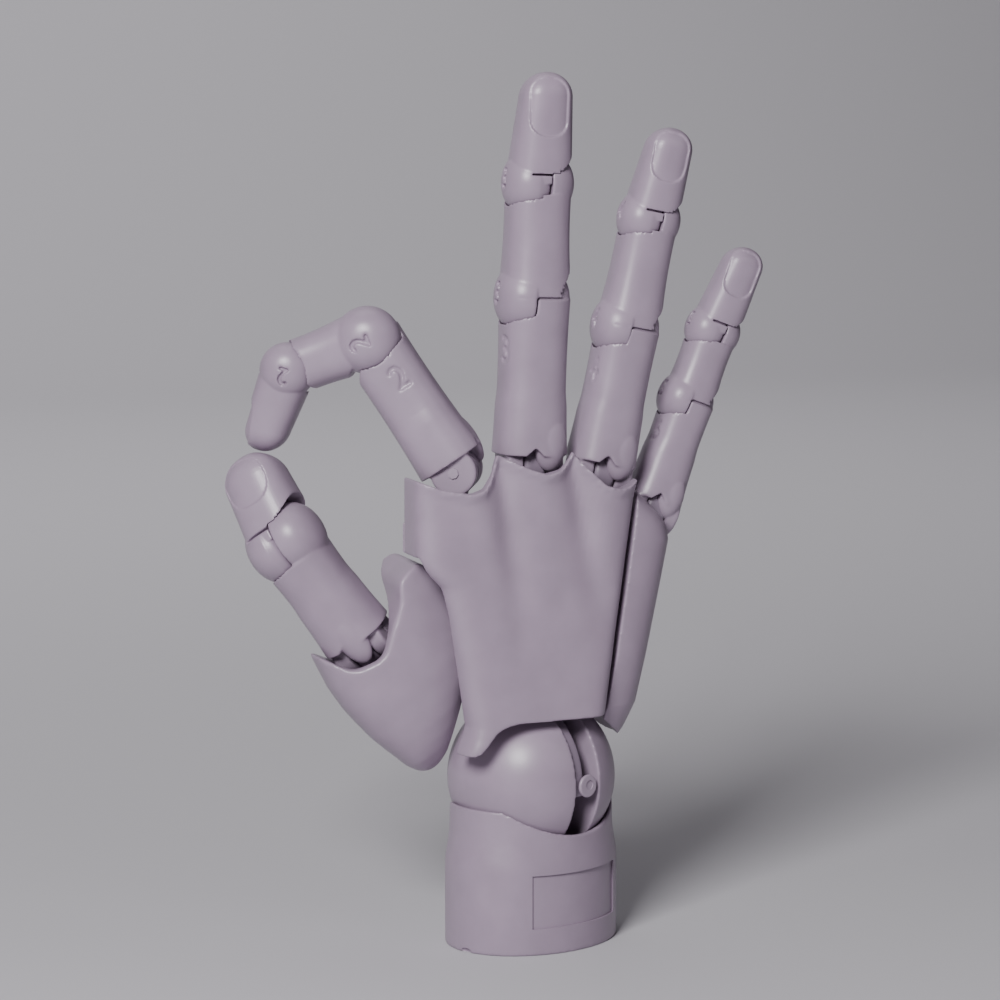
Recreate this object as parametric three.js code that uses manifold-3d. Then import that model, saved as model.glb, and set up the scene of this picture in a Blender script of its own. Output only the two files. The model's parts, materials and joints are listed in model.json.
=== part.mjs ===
// Poseable hand mannequin: a moulded plastic right hand on a forearm stub, jointed at the wrist,
// the palm, the thumb and every finger joint. Millimetres, +Z up, back of the hand towards -Y,
// thumb towards -X. The origin is the centre of the stub's bottom face.
import * as THREE from 'three';
import { mergeVertices } from 'three/addons/utils/BufferGeometryUtils.js';
import Module from 'manifold-3d';

const wasm = await Module();
wasm.setup();

// Clearances
const PLAY = 0.3;
const LAP_GAP = 0.3;
const BALL_PLAY = 0.5;
const SHELL_GAP = 0.3;

// Forearm stub
const STUB_HALF_WIDTH = 24.6;
const STUB_HALF_DEPTH = 20;
const STUB_HEIGHT = 37.5;
const STUB_WALL = 2.6;
const STUB_YAW = 24;
const NECK_IN = 3;
const NECK_HEIGHT = 23;
const SCOOP_RADIUS = 35;
const SCOOP_DEPTH = 7;
const FOOT_THICKNESS = 3;
const FOOT_FLOOR = 1.2;
const PANEL_WIDTH = 29;
const PANEL_HEIGHT = 14;
const PANEL_SINK = 0.5;
const PANEL_BOTTOM = 7;

// Wrist
const WRIST_HEIGHT = 43.5;
const BALL_RADIUS = 22;
const SLOT_WIDTH = 8;
const CORE_RADIUS = 20.6;
const CORE_HUB_RADIUS = 12;
const CORE_CUT_ANGLE = 72;
const BEND_PIN_RADIUS = 3;
const BEND_PIN_INSET = 4;
const POST_RADIUS = 4;
const POST_HEAD_RADIUS = 7;
const POST_HEAD_THICKNESS = 3;
const POST_HEAD_DROP = 16;
const STUD_RADIUS = 3.4;
const STUD_TOP = 40;
const STUD_HEAD_RADIUS = 5.4;
const STUD_HEAD_THICKNESS = 3;
const BUTTON_RADIUS = 3;
const BUTTON_PROUD = 1;
const BUTTON_SHANK_RADIUS = 1.6;
const BUTTON_SHANK_LENGTH = 5;

// Palm
const PALM_TOP = 129;
const PALM_LEFT_TOP = 120.5;
const PALM_RIGHT_CORNER = 119.5;
const PALM_CREST = [-13, 8];
const PALM_BOTTOM = 55;
const PALM_WALL = 2.4;
const PALM_LEFT = -34.6;
const PALM_BLOCK_BOTTOM = 103.5;
const PALM_WAIST_LEFT = -27.5;
const PALM_WAIST_HEIGHT = 95.5;
const PALM_HEEL_LEFT = -23.5;
const PALM_RIGHT_TOP = 25;
const PALM_RIGHT_HEEL = 14;
const PALM_TOP_HALF_DEPTH = 13;
const PALM_HEEL_HALF_DEPTH = 20;
const PALM_CORNER = 9;
const PALM_SIDE_SLOPE = 45;
const PALM_SIDE_DEPTH = 1;
const HEEL_ARCH_RADIUS = 17;
const HEEL_ARCH_X = -2;
const CREASE_HEIGHT = 111.5;
const CREASE_DEPTH = 0;
const CROWN_RADIUS = 9.6;
const CROWN_RISE = 5.4;
const THUMB_BAY_RIGHT = -14.5;
const THUMB_BAY_FRONT = -8.5;
const SCREW_RADIUS = 1.5;
const SCREW_HEAD_RADIUS = 2.8;
const SCREW_HEAD_HEIGHT = 2;
const SCREW_PLACES = [[-6, 106.5], [9, 90.5]];
const SCREW_DEPTH = 16;

// Little-finger side plate, hinged along the palm's right edge
const PLATE_HALF_DEPTH = 9;
const PLATE_CORNER = 6;
const PLATE_GAP = 0.6;
const PLATE_TIP = [22.5, 51.5];
const PLATE_OUTER_LOW = [27.5, 62.5];
const PLATE_OUTER_TOP = [37, 105.5];
const PLATE_TOP = 118;
const PLATE_TOP_WIDTH = 2;
const PLATE_CREASE_DROP = 9;
const PLATE_BALL_ROOM = 3;
const CUP_AXIS_DEPTH = 4.5;
const CUP_AXIS_INSET = 4.5;
const CUP_PIN_START = 8;
const CUP_PIN_CLEAR = 1.8;
const CUP_EAR_PLACES = [14, 31];

// Hinge ears that the palm reaches out to the plate and to the thumb
const EAR_RADIUS = 3.4;
const EAR_WIDTH = 5;
const EAR_PIN_RADIUS = 1.4;
const EAR_ROOT = 4.5;

// Finger joints
const DEPTH_RATIO = 0.97;
const LUG_RELIEF = 0.5;
const LUG_DOME = 0.9;
const LUG_EDGE_DEPTH = 3;
const LUG_EDGE_IN = 2.2;
const RIM_BACK = 2.6;
const PIN_RADIUS = 1.4;
const PIN_END_INSET = 1.6;
const TONGUE_WIDTH = 6;
const TONGUE_RADIUS = 6;
const LOBE_ROOM = 1.2;
const STEM_RADIUS = 3;
const STEM_LENGTH = 20;
const PIP_FOLD = 46;
const DIP_FOLD = 36;
const SHAFT_WAIST = 0.5;
const TIP_STEPS = 4;
const TIP_SET = 2.4;

// Each finger: knuckle centre, bone lengths, and widths at its joints and tip
const INDEX_KNUCKLE = [-20.2, 0, 124.5];
const INDEX_BONES = [40.5, 22.4, 22.5];
const INDEX_WIDTHS = [19.4, 17.6, 14.6, 12.4];
const MIDDLE_KNUCKLE = [-0.6, 0, 125.7];
const MIDDLE_BONES = [42.8, 29.4, 28.4];
const MIDDLE_WIDTHS = [19.4, 18.6, 16.6, 13.4];
const RING_KNUCKLE = [18.6, 0, 122.9];
const RING_BONES = [38, 28.6, 24.4];
const RING_WIDTHS = [18, 17, 14.6, 12.2];
const LITTLE_KNUCKLE = [34.4, 4, 112];
const LITTLE_BONES = [30, 19.6, 23.6];
const LITTLE_WIDTHS = [15.2, 14.2, 12.8, 10.8];

// Angles at rest: each finger's fan-out lean, the index stem's turn and the index finger's bends
const MIDDLE_LEAN = 2;
const RING_LEAN = 12;
const LITTLE_LEAN = 21;
const INDEX_TURN = 65;
const INDEX_BENDS = [34, 77, 54];
const STRAIGHT = [0, 0, 0];

const FINGERS = [
  {
    name: 'index', knuckle: INDEX_KNUCKLE, bones: INDEX_BONES, widths: INDEX_WIDTHS,
    lean: 0, turn: INDEX_TURN, bends: INDEX_BENDS,
  },
  {
    name: 'middle', knuckle: MIDDLE_KNUCKLE, bones: MIDDLE_BONES, widths: MIDDLE_WIDTHS,
    lean: MIDDLE_LEAN, turn: 0, bends: STRAIGHT,
  },
  {
    name: 'ring', knuckle: RING_KNUCKLE, bones: RING_BONES, widths: RING_WIDTHS,
    lean: RING_LEAN, turn: 0, bends: STRAIGHT,
  },
  {
    name: 'little', knuckle: LITTLE_KNUCKLE, bones: LITTLE_BONES, widths: LITTLE_WIDTHS,
    lean: LITTLE_LEAN, turn: 0, bends: STRAIGHT,
  },
];

// Thumb
const THUMB_HINGE = [-20.2, 4, 62.5];
const THUMB_HINGE_LEAN = -6;
const THUMB_HINGE_EDGE = 5.2;
const THUMB_PIN_SPAN = [3, 31];
const THUMB_EAR_PLACES = [9, 25];
const THUMB_KNUCKLE = [-43.2, 8.5, 79.5];
const THUMB_LEAN = -36;
const THUMB_TILT = 5;
const THUMB_TURN = -30;
const THUMB_IP_BEND = 30;
const THUMB_BONES = [33, 25];
const THUMB_WIDTHS = [19, 18.5, 16.4];
const THUMB_STEM_LENGTH = 15;
const THUMB_BEND_DROP = 9.5;
const THUMB_SHELL_OUTLINE = [
  [-53.5, 78], [-46, 74.5], [-38, 86], [-37, 96.5], [-32, 101.5], [-23.5, 96], [-20, 77.5],
  [-18.4, 70.5], [-20.5, 63.5], [-21, 51], [-24.5, 47], [-29, 45], [-37, 50.5], [-46, 61],
];
const THUMB_SHELL_PROFILE = [[0, -46], [12, -45], [20, -38], [25, -24], [26, -6], [25, 14], [0, 14]];
const THUMB_SHELL_DEPTH_RATIO = 0.5;

// Facets round each kind of curve
const ROUND_SIDES = 14;
const PIN_SIDES = 8;
const ROOM_SIDES = 24;
const SHELL_SIDES = 28;
const WRIST_SIDES = 36;
const STUB_SIDES = 40;
const SCOOP_SIDES = 56;
const CORNER_STEPS = 5;

// Moulded plastic, one colour throughout
const PLASTIC = 0xa39aa6;
const INNER_PLASTIC = 0x8f8792;
const PIN_PLASTIC = 0xa79eaa;

const rad = THREE.MathUtils.degToRad;
const FAR = 120;
const OVER = 1;

const plastic = (color) => new THREE.MeshStandardMaterial({ color, roughness: 0.48, metalness: 0 });

// A closed solid from a geometry
function solid(geometry) {
  const bare = geometry.index ? geometry.toNonIndexed() : geometry.clone();
  bare.deleteAttribute('normal');
  bare.deleteAttribute('uv');
  const merged = mergeVertices(bare, 1e-4);
  return new wasm.Manifold(new wasm.Mesh({
    numProp: 3,
    vertProperties: new Float32Array(merged.attributes.position.array),
    triVerts: new Uint32Array(merged.index.array),
  }));
}

// A solid put in another place
function moved(shape, matrix) {
  const { vertProperties, triVerts } = shape.getMesh();
  const places = new THREE.BufferAttribute(vertProperties, 3).applyMatrix4(matrix);
  return new wasm.Manifold(new wasm.Mesh({ numProp: 3, vertProperties: places.array, triVerts }));
}

// A named mesh from a solid, hung in its group
function addPiece(group, name, shape, color = PLASTIC) {
  const { vertProperties, triVerts } = shape.getMesh();
  const geometry = new THREE.BufferGeometry();
  geometry.setAttribute('position', new THREE.BufferAttribute(vertProperties, 3));
  geometry.setIndex(new THREE.BufferAttribute(triVerts, 1));
  geometry.computeVertexNormals();
  const mesh = new THREE.Mesh(geometry, plastic(color));
  mesh.name = name;
  group.add(mesh);
}

function addGroup(parent, name, position = [0, 0, 0]) {
  const group = new THREE.Group();
  group.name = name;
  group.position.set(...position);
  parent.add(group);
  return group;
}

// Rods along each axis, between two places on that axis
function rodZ(radius, from, to, sides = ROUND_SIDES) {
  const rod = new THREE.CylinderGeometry(radius, radius, to - from, sides);
  return rod.rotateX(Math.PI / 2).translate(0, 0, (from + to) / 2);
}

function rodX(radius, from, to, sides = ROUND_SIDES) {
  const rod = new THREE.CylinderGeometry(radius, radius, to - from, sides);
  return rod.rotateZ(Math.PI / 2).translate((from + to) / 2, 0, 0);
}

function rodY(radius, from, to, sides = ROUND_SIDES) {
  const rod = new THREE.CylinderGeometry(radius, radius, to - from, sides);
  return rod.translate(0, (from + to) / 2, 0);
}

// A box between two corners
function box(low, high) {
  const size = high.map((value, i) => value - low[i]);
  const middle = high.map((value, i) => (value + low[i]) / 2);
  return new THREE.BoxGeometry(...size).translate(...middle);
}

function ball(radius, sides = ROOM_SIDES) {
  return new THREE.SphereGeometry(radius, sides, sides / 2).rotateX(Math.PI / 2);
}

// An outline drawn in X and Z, thickened along Y
function slabY(points, from, to) {
  const shape = new THREE.Shape(points.map(([x, z]) => new THREE.Vector2(x, z)));
  const slab = new THREE.ExtrudeGeometry(shape, { depth: to - from, bevelEnabled: false });
  return slab.rotateX(Math.PI / 2).translate(0, to, 0);
}

// An outline drawn in Y and Z, thickened along X
function slabX(points, from, to) {
  const shape = new THREE.Shape(points.map(([y, z]) => new THREE.Vector2(y, z)));
  const slab = new THREE.ExtrudeGeometry(shape, { depth: to - from, bevelEnabled: false });
  return slab.rotateX(Math.PI / 2).rotateZ(Math.PI / 2).translate(from, 0, 0);
}

// A rounded rectangle drawn in X and Y, thickened along Z
function roundedBar(left, right, front, back, corner, from, to) {
  const shape = new THREE.Shape();
  shape.moveTo(left + corner, front);
  shape.lineTo(right - corner, front);
  shape.absarc(right - corner, front + corner, corner, -Math.PI / 2, 0);
  shape.lineTo(right, back - corner);
  shape.absarc(right - corner, back - corner, corner, 0, Math.PI / 2);
  shape.lineTo(left + corner, back);
  shape.absarc(left + corner, back - corner, corner, Math.PI / 2, Math.PI);
  shape.lineTo(left, front + corner);
  shape.absarc(left + corner, front + corner, corner, Math.PI, Math.PI * 1.5);
  const options = { depth: to - from, bevelEnabled: false, curveSegments: CORNER_STEPS };
  return new THREE.ExtrudeGeometry(shape, options).translate(0, 0, from);
}

// An oval bar turned from a list of radius and height, flattened front to back
function ovalBar(profile, depthRatio, sides = ROUND_SIDES) {
  const points = profile.map(([radius, height]) => new THREE.Vector2(radius, height));
  const turned = new THREE.LatheGeometry(points, sides).rotateX(Math.PI / 2);
  return turned.scale(1, depthRatio, 1);
}

const at = (geometry, place) => solid(geometry.translate(...place));

// Forearm stub: an oval casing necked in under its rim and scooped front and back for the ball
function stubOval(inset, from, to) {
  const profile = [
    [0, from],
    [STUB_HALF_WIDTH - inset, from],
    [STUB_HALF_WIDTH - inset, NECK_HEIGHT],
    [STUB_HALF_WIDTH - inset - NECK_IN, STUB_HEIGHT],
    [STUB_HALF_WIDTH - inset - NECK_IN, to],
    [0, to],
  ];
  const ratio = (STUB_HALF_DEPTH - inset) / (STUB_HALF_WIDTH - inset);
  return solid(ovalBar(profile.filter(([, z]) => z <= to), ratio, STUB_SIDES));
}

function addForearm(parent) {
  const forearm = addGroup(parent, 'forearm');
  forearm.rotation.z = rad(STUB_YAW);
  const scoopHeight = STUB_HEIGHT - SCOOP_DEPTH + SCOOP_RADIUS;
  const socket = at(ball(BALL_RADIUS + BALL_PLAY, WRIST_SIDES), [0, 0, WRIST_HEIGHT]);
  const panelFront = -STUB_HALF_DEPTH - STUB_WALL;
  const panelLow = [-PANEL_WIDTH / 2, panelFront, PANEL_BOTTOM];
  const panelHigh = [PANEL_WIDTH / 2, 0, PANEL_BOTTOM + PANEL_HEIGHT];
  const panel = solid(box(panelLow, panelHigh)).subtract(stubOval(PANEL_SINK, 0, STUB_HEIGHT));
  const shell = stubOval(0, 0, STUB_HEIGHT)
    .subtract(stubOval(STUB_WALL, -OVER, STUB_HEIGHT + OVER))
    .subtract(at(rodY(SCOOP_RADIUS, -FAR, FAR, SCOOP_SIDES), [0, 0, scoopHeight]))
    .subtract(socket)
    .subtract(panel);
  addPiece(forearm, 'forearm_shell', shell);

  const postTop = WRIST_HEIGHT - POST_HEAD_DROP;
  const foot = stubOval(STUB_WALL + PLAY, 0, FOOT_THICKNESS)
    .subtract(solid(rodZ(POST_RADIUS + PLAY, FOOT_FLOOR, FOOT_THICKNESS + OVER)));
  addPiece(forearm, 'forearm_foot', foot, INNER_PLASTIC);
  const post = solid(rodZ(POST_RADIUS, FOOT_FLOOR + PLAY, postTop))
    .add(solid(rodZ(POST_HEAD_RADIUS, postTop - POST_HEAD_THICKNESS, postTop)))
    .add(solid(rodZ(POST_HEAD_RADIUS, FOOT_THICKNESS + PLAY, FOOT_THICKNESS + PLAY + POST_HEAD_THICKNESS)));
  addPiece(forearm, 'wrist_post', post, INNER_PLASTIC);
  return forearm;
}

// Wrist ball: two halves either side of the slot, on the cross pin
function addBall(forearm) {
  const turn = addGroup(forearm, 'wrist_turn', [0, 0, WRIST_HEIGHT]);
  const headTop = -POST_HEAD_DROP + PLAY;
  const headLow = headTop - POST_HEAD_THICKNESS - 2 * PLAY;
  const hollow = solid(rodZ(POST_HEAD_RADIUS + PLAY, headLow, headTop))
    .add(solid(rodZ(POST_RADIUS + PLAY, -FAR, headTop)));
  const pinEnd = BALL_RADIUS - BEND_PIN_INSET;
  const pinHole = solid(rodX(BEND_PIN_RADIUS + PLAY, -pinEnd - PLAY, pinEnd + PLAY, PIN_SIDES));
  const whole = solid(ball(BALL_RADIUS, WRIST_SIDES)).subtract(hollow).subtract(pinHole);
  const half = SLOT_WIDTH / 2;
  const left = whole.subtract(solid(box([-half, -FAR, -FAR], [FAR, FAR, FAR])));
  const right = whole.subtract(solid(box([-FAR, -FAR, -FAR], [half, FAR, FAR])));
  addPiece(turn, 'wrist_ball_radial_half', left);
  addPiece(turn, 'wrist_ball_ulnar_half', right);
  const pin = solid(rodX(BEND_PIN_RADIUS, -pinEnd, pinEnd, PIN_SIDES));
  addPiece(turn, 'wrist_bend_pin', pin, PIN_PLASTIC);
  return turn;
}

// Wrist core: a disc that swings in the slot, cut away below for the post, with the palm's stud on top
function addCore(turn) {
  const bend = addGroup(turn, 'wrist_bend');
  const half = SLOT_WIDTH / 2 - LAP_GAP;
  const reach = Math.tan(rad(CORE_CUT_ANGLE)) * BALL_RADIUS;
  const wedge = slabX([[0, 0], [-reach, -BALL_RADIUS], [reach, -BALL_RADIUS]], -FAR, FAR);
  const disc = solid(rodX(CORE_RADIUS, -half, half, WRIST_SIDES))
    .subtract(solid(wedge))
    .add(solid(rodX(CORE_HUB_RADIUS, -half, half, ROOM_SIDES)));
  const stud = solid(rodZ(STUD_RADIUS, 0, STUD_TOP, PIN_SIDES))
    .add(solid(rodZ(STUD_HEAD_RADIUS, STUD_TOP - STUD_HEAD_THICKNESS, STUD_TOP)));
  const buttonFace = -CORE_RADIUS - PLAY;
  const shankEnd = buttonFace + BUTTON_SHANK_LENGTH;
  const shankHole = rodY(BUTTON_SHANK_RADIUS + PLAY, -FAR, shankEnd + PLAY, PIN_SIDES);
  const core = disc.add(stud)
    .subtract(solid(rodX(BEND_PIN_RADIUS + PLAY, -FAR, FAR, PIN_SIDES)))
    .subtract(solid(shankHole));
  addPiece(bend, 'wrist_core', core, INNER_PLASTIC);
  const button = solid(rodY(BUTTON_RADIUS, buttonFace - BUTTON_PROUD, buttonFace))
    .add(solid(rodY(BUTTON_SHANK_RADIUS, buttonFace - PLAY, shankEnd, PIN_SIDES)));
  addPiece(bend, 'wrist_button_pin', button, PIN_PLASTIC);
  return bend;
}

// The palm's whole outer form, drawn in by an inset
function palmForm(inset) {
  const outline = [
    [PALM_CREST[0], PALM_TOP - inset],
    [PALM_LEFT + inset, PALM_LEFT_TOP - inset],
    [PALM_LEFT + inset, PALM_BLOCK_BOTTOM + inset],
    [PALM_WAIST_LEFT + inset, PALM_WAIST_HEIGHT + inset],
    [PALM_HEEL_LEFT + inset, PALM_BOTTOM + inset],
    [PALM_RIGHT_HEEL - inset, PALM_BOTTOM + inset],
    [PALM_RIGHT_TOP - inset, PALM_RIGHT_CORNER - inset],
    [PALM_CREST[1], PALM_TOP - inset],
  ];
  const topHalf = PALM_TOP_HALF_DEPTH - inset;
  const heelHalf = PALM_HEEL_HALF_DEPTH - inset;
  const side = [
    [-topHalf, PALM_TOP],
    [-heelHalf, PALM_BOTTOM],
    [heelHalf, PALM_BOTTOM],
    [topHalf, PALM_TOP],
  ];
  const corner = PALM_CORNER - inset;
  const bar = roundedBar(
    PALM_LEFT + inset, FAR, -heelHalf, heelHalf, corner, PALM_BOTTOM - OVER, PALM_TOP + OVER,
  );
  const slope = box([0, -FAR, -FAR], [FAR, FAR, FAR * 2])
    .rotateZ(Math.PI - rad(PALM_SIDE_SLOPE))
    .translate(PALM_LEFT + inset / Math.cos(rad(PALM_SIDE_SLOPE)), PALM_SIDE_DEPTH, 0);
  return solid(slabY(outline.reverse(), -FAR, FAR))
    .intersect(solid(slabX(side.reverse(), -FAR, FAR)))
    .intersect(solid(bar))
    .subtract(solid(slope));
}

// Room in the palm for the thumb's root
function thumbBay(inset) {
  const low = [-FAR, THUMB_BAY_FRONT - inset, -FAR];
  const high = [THUMB_BAY_RIGHT + inset, FAR, PALM_BLOCK_BOTTOM + inset];
  return solid(box(low, high));
}

const palmFingers = FINGERS.filter(({ name }) => name !== 'little');

// Round scallops along the palm's top edge, one to a knuckle
function crownCuts(grow) {
  return palmFingers.map(({ knuckle: [x, , z] }) => (
    at(rodY(CROWN_RADIUS + grow, -FAR, FAR, ROOM_SIDES), [x, 0, z + CROWN_RISE])
  ));
}

// Room round each knuckle for the lobes of the finger's fork
function knuckleRooms() {
  return palmFingers.map(({ knuckle: centre, widths }) => at(ball(widths[0] / 2 + LOBE_ROOM), centre));
}

// The palm side ends lower, at the crease, so that the fingers can bend over it
function creaseCut() {
  return solid(box([-FAR, CREASE_DEPTH, CREASE_HEIGHT], [FAR, FAR, FAR * 2]));
}

function stemRoom({ knuckle: centre, lean }) {
  const stem = rodZ(STEM_RADIUS + PLAY, -STEM_LENGTH - PLAY, 0, PIN_SIDES).rotateY(rad(lean));
  return at(stem, centre);
}

const cutAll = (shape, cuts) => cuts.reduce((rest, cut) => rest.subtract(cut), shape);

function screwCuts() {
  return SCREW_PLACES.map(([x, z]) => {
    const shank = at(rodY(SCREW_RADIUS + PLAY, -SCREW_DEPTH / 2, FAR, PIN_SIDES), [x, 0, z]);
    const head = at(rodY(SCREW_HEAD_RADIUS + PLAY, screwSeat(z), FAR), [x, 0, z]);
    return shank.add(head);
  });
}

// Depth of the palm's outer face at a height, and of a screw head's seat in it
function palmDepth(z) {
  const share = (z - PALM_BOTTOM) / (PALM_TOP - PALM_BOTTOM);
  return PALM_HEEL_HALF_DEPTH + (PALM_TOP_HALF_DEPTH - PALM_HEEL_HALF_DEPTH) * share;
}

function screwSeat(z) {
  return palmDepth(z) - PALM_WALL - SCREW_HEAD_HEIGHT / 2;
}

// Palm: a block that carries the stud and the knuckle stems, between two covers
function addPalm(bend) {
  const turn = addGroup(bend, 'palm_turn');
  const palm = addGroup(turn, 'palm', [0, 0, -WRIST_HEIGHT]);
  palm.rotation.z = rad(-STUB_YAW);
  const wristRoom = () => at(ball(BALL_RADIUS + 2 * BALL_PLAY, SHELL_SIDES), [0, 0, WRIST_HEIGHT]);
  const stems = palmFingers.map(stemRoom);
  const arch = () => at(rodY(HEEL_ARCH_RADIUS, -FAR, 0, SHELL_SIDES), [HEEL_ARCH_X, 0, WRIST_HEIGHT]);
  const cover = cutAll(
    palmForm(0).subtract(palmForm(PALM_WALL)).subtract(thumbBay(0)).subtract(wristRoom()),
    [...crownCuts(0), ...knuckleRooms(), ...stems, ...screwCuts(), ...palmEars(PLAY), creaseCut()],
  ).subtract(arch());
  const dorsal = cover.subtract(solid(box([-FAR, -SHELL_GAP / 2, -FAR], [FAR, FAR, FAR * 2])));
  const palmar = cover.subtract(solid(box([-FAR, -FAR, -FAR], [FAR, SHELL_GAP / 2, FAR * 2])));
  addPiece(palm, 'palm_dorsal_shell', dorsal);
  addPiece(palm, 'palm_palmar_shell', palmar);

  const studLow = WRIST_HEIGHT + STUD_TOP - STUD_HEAD_THICKNESS - PLAY;
  const studRoom = solid(rodZ(STUD_RADIUS + PLAY, 0, studLow + OVER))
    .add(solid(rodZ(STUD_HEAD_RADIUS + PLAY, studLow, WRIST_HEIGHT + STUD_TOP + PLAY)))
    .add(solid(box([-STUD_RADIUS, 0, 0], [STUD_RADIUS, FAR, WRIST_HEIGHT + STUD_TOP + PLAY])));
  const core = cutAll(
    palmForm(PALM_WALL + SHELL_GAP).subtract(thumbBay(PALM_WALL + SHELL_GAP)).subtract(wristRoom()),
    [...crownCuts(PALM_WALL), ...knuckleRooms(), ...stems, ...screwCuts(), studRoom, creaseCut()],
  ).subtract(arch());
  const frame = palmEars(0)
    .reduce((rest, ear) => rest.add(ear), core)
    .subtract(moved(earPin(cupPinSpan, PLAY), cupAxis))
    .subtract(moved(earPin(THUMB_PIN_SPAN, PLAY), thumbAxis));
  addPiece(palm, 'palm_frame', frame, INNER_PLASTIC);

  SCREW_PLACES.forEach(([x, z], i) => {
    const seat = screwSeat(z) + PLAY;
    const screw = solid(rodY(SCREW_RADIUS, PLAY - SCREW_DEPTH / 2, seat + OVER, PIN_SIDES))
      .add(solid(rodY(SCREW_HEAD_RADIUS, seat, seat + SCREW_HEAD_HEIGHT)));
    const place = addGroup(palm, `screw_${i + 1}`, [x, 0, z]);
    addPiece(place, `palm_screw_${i + 1}`, screw, PIN_PLASTIC);
  });
  return palm;
}

// The little-finger plate's hinge line, along the palm's right edge
const edgeLean = Math.atan2(PALM_RIGHT_TOP - PALM_RIGHT_HEEL, PALM_RIGHT_CORNER - PALM_BOTTOM);
const cupAxis = new THREE.Matrix4()
  .makeRotationY(edgeLean)
  .setPosition(PALM_RIGHT_HEEL + PLATE_GAP + CUP_AXIS_INSET, CUP_AXIS_DEPTH, PALM_BOTTOM);
const stemEnd = LITTLE_KNUCKLE[2] - STEM_LENGTH * Math.cos(rad(LITTLE_LEAN));
const cupPinSpan = [CUP_PIN_START, (stemEnd - PALM_BOTTOM) / Math.cos(edgeLean) - CUP_PIN_CLEAR];

// The thumb's hinge line, up the palm's other side
const thumbAxis = new THREE.Matrix4().makeRotationY(rad(THUMB_HINGE_LEAN)).setPosition(...THUMB_HINGE);

// Hinge ears on a pin along Z: a round end on the axis, and an arm along X back to the palm
function ears(places, arm, grow) {
  const half = EAR_WIDTH / 2 + grow;
  const radius = EAR_RADIUS + grow;
  const [from, to] = [0, arm].sort((a, b) => a - b);
  return places.map((z) => {
    const reach = box([from, -radius, z - half], [to, radius, z + half]);
    return solid(rodZ(radius, z - half, z + half)).add(solid(reach));
  });
}

// The notches that the ears turn in, open on the palm's side
function earNotches(places, side) {
  const half = EAR_WIDTH / 2 + PLAY;
  const [from, to] = [0, side * FAR].sort((a, b) => a - b);
  return places.map((z) => solid(box([from, -FAR, z - half], [to, FAR, z + half])));
}

function earPin([low, high], grow) {
  return solid(rodZ(EAR_PIN_RADIUS + grow, low - grow, high + grow, PIN_SIDES));
}

const cupArm = -(CUP_AXIS_INSET + PLATE_GAP + PALM_WALL + SHELL_GAP + EAR_ROOT);
const thumbArm = THUMB_BAY_RIGHT + PALM_WALL + SHELL_GAP + EAR_ROOT - THUMB_HINGE[0];

// Both sets of ears in the palm's place, grown for the openings that they pass through
function palmEars(grow) {
  const cup = ears(CUP_EAR_PLACES, cupArm, grow).map((ear) => moved(ear, cupAxis));
  const thumb = ears(THUMB_EAR_PLACES, thumbArm, grow).map((ear) => moved(ear, thumbAxis));
  return [...cup, ...thumb];
}

function addLittlePlate(palm) {
  const cup = addGroup(palm, 'palm_cup');
  cup.applyMatrix4(cupAxis);
  const back = cupAxis.clone().invert();
  const slope = Math.tan(edgeLean);
  const innerEdge = (z) => PALM_RIGHT_HEEL + PLATE_GAP + (z - PALM_BOTTOM) * slope;
  const outline = [
    PLATE_TIP,
    PLATE_OUTER_LOW,
    PLATE_OUTER_TOP,
    [innerEdge(PLATE_TOP) + PLATE_TOP_WIDTH, PLATE_TOP],
    [innerEdge(PLATE_TOP), PLATE_TOP],
    [innerEdge(PALM_BOTTOM), PALM_BOTTOM],
  ];
  const bar = roundedBar(
    -FAR, PLATE_OUTER_TOP[0], -PLATE_HALF_DEPTH, PLATE_HALF_DEPTH, PLATE_CORNER, 0, FAR * 2,
  );
  const little = { knuckle: LITTLE_KNUCKLE, lean: LITTLE_LEAN };
  const rise = LITTLE_KNUCKLE[2] - PLATE_CREASE_DROP;
  const shape = cutAll(solid(slabY(outline, -FAR, FAR)).intersect(solid(bar)), [
    at(ball(BALL_RADIUS + PLATE_BALL_ROOM), [0, 0, WRIST_HEIGHT]),
    at(ball(LITTLE_WIDTHS[0] / 2 + LOBE_ROOM), LITTLE_KNUCKLE),
    stemRoom(little),
    solid(box([-FAR, LITTLE_KNUCKLE[1], rise], [FAR, FAR, FAR * 2])),
    ...knuckleRooms(),
  ]);
  const innerEdgeRound = solid(box([-FAR, 0, -FAR], [0, FAR, FAR]))
    .subtract(solid(rodZ(CUP_AXIS_INSET, -FAR, FAR)));
  const rooms = [
    innerEdgeRound,
    ...ears(CUP_EAR_PLACES, cupArm, PLAY),
    ...earNotches(CUP_EAR_PLACES, -1),
    earPin(cupPinSpan, PLAY),
  ];
  addPiece(cup, 'little_metacarpal_plate', cutAll(moved(shape, back), rooms));
  addPiece(cup, 'palm_cup_pin', earPin(cupPinSpan, 0), PIN_PLASTIC);
  const carrier = addGroup(cup, 'plate');
  carrier.applyMatrix4(back);
  return carrier;
}

// Half of a lap hinge: a domed disc on the hinge axis; side -1 is the thumb side, +1 the other
function lug(width, side) {
  const radius = lugRadius(width);
  const end = width / 2 + (side < 0 ? LUG_DOME : -LUG_RELIEF);
  const profile = [
    [0, LAP_GAP / 2],
    [radius, LAP_GAP / 2],
    [radius, end - LUG_EDGE_DEPTH],
    [radius - LUG_EDGE_IN, end],
    [0, end],
  ];
  const points = profile.map(([r, x]) => new THREE.Vector2(r, x));
  return solid(new THREE.LatheGeometry(points, ROUND_SIDES).rotateZ(-side * Math.PI / 2));
}

const lugRadius = (width) => (width / 2) * DEPTH_RATIO - LUG_RELIEF;

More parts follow.
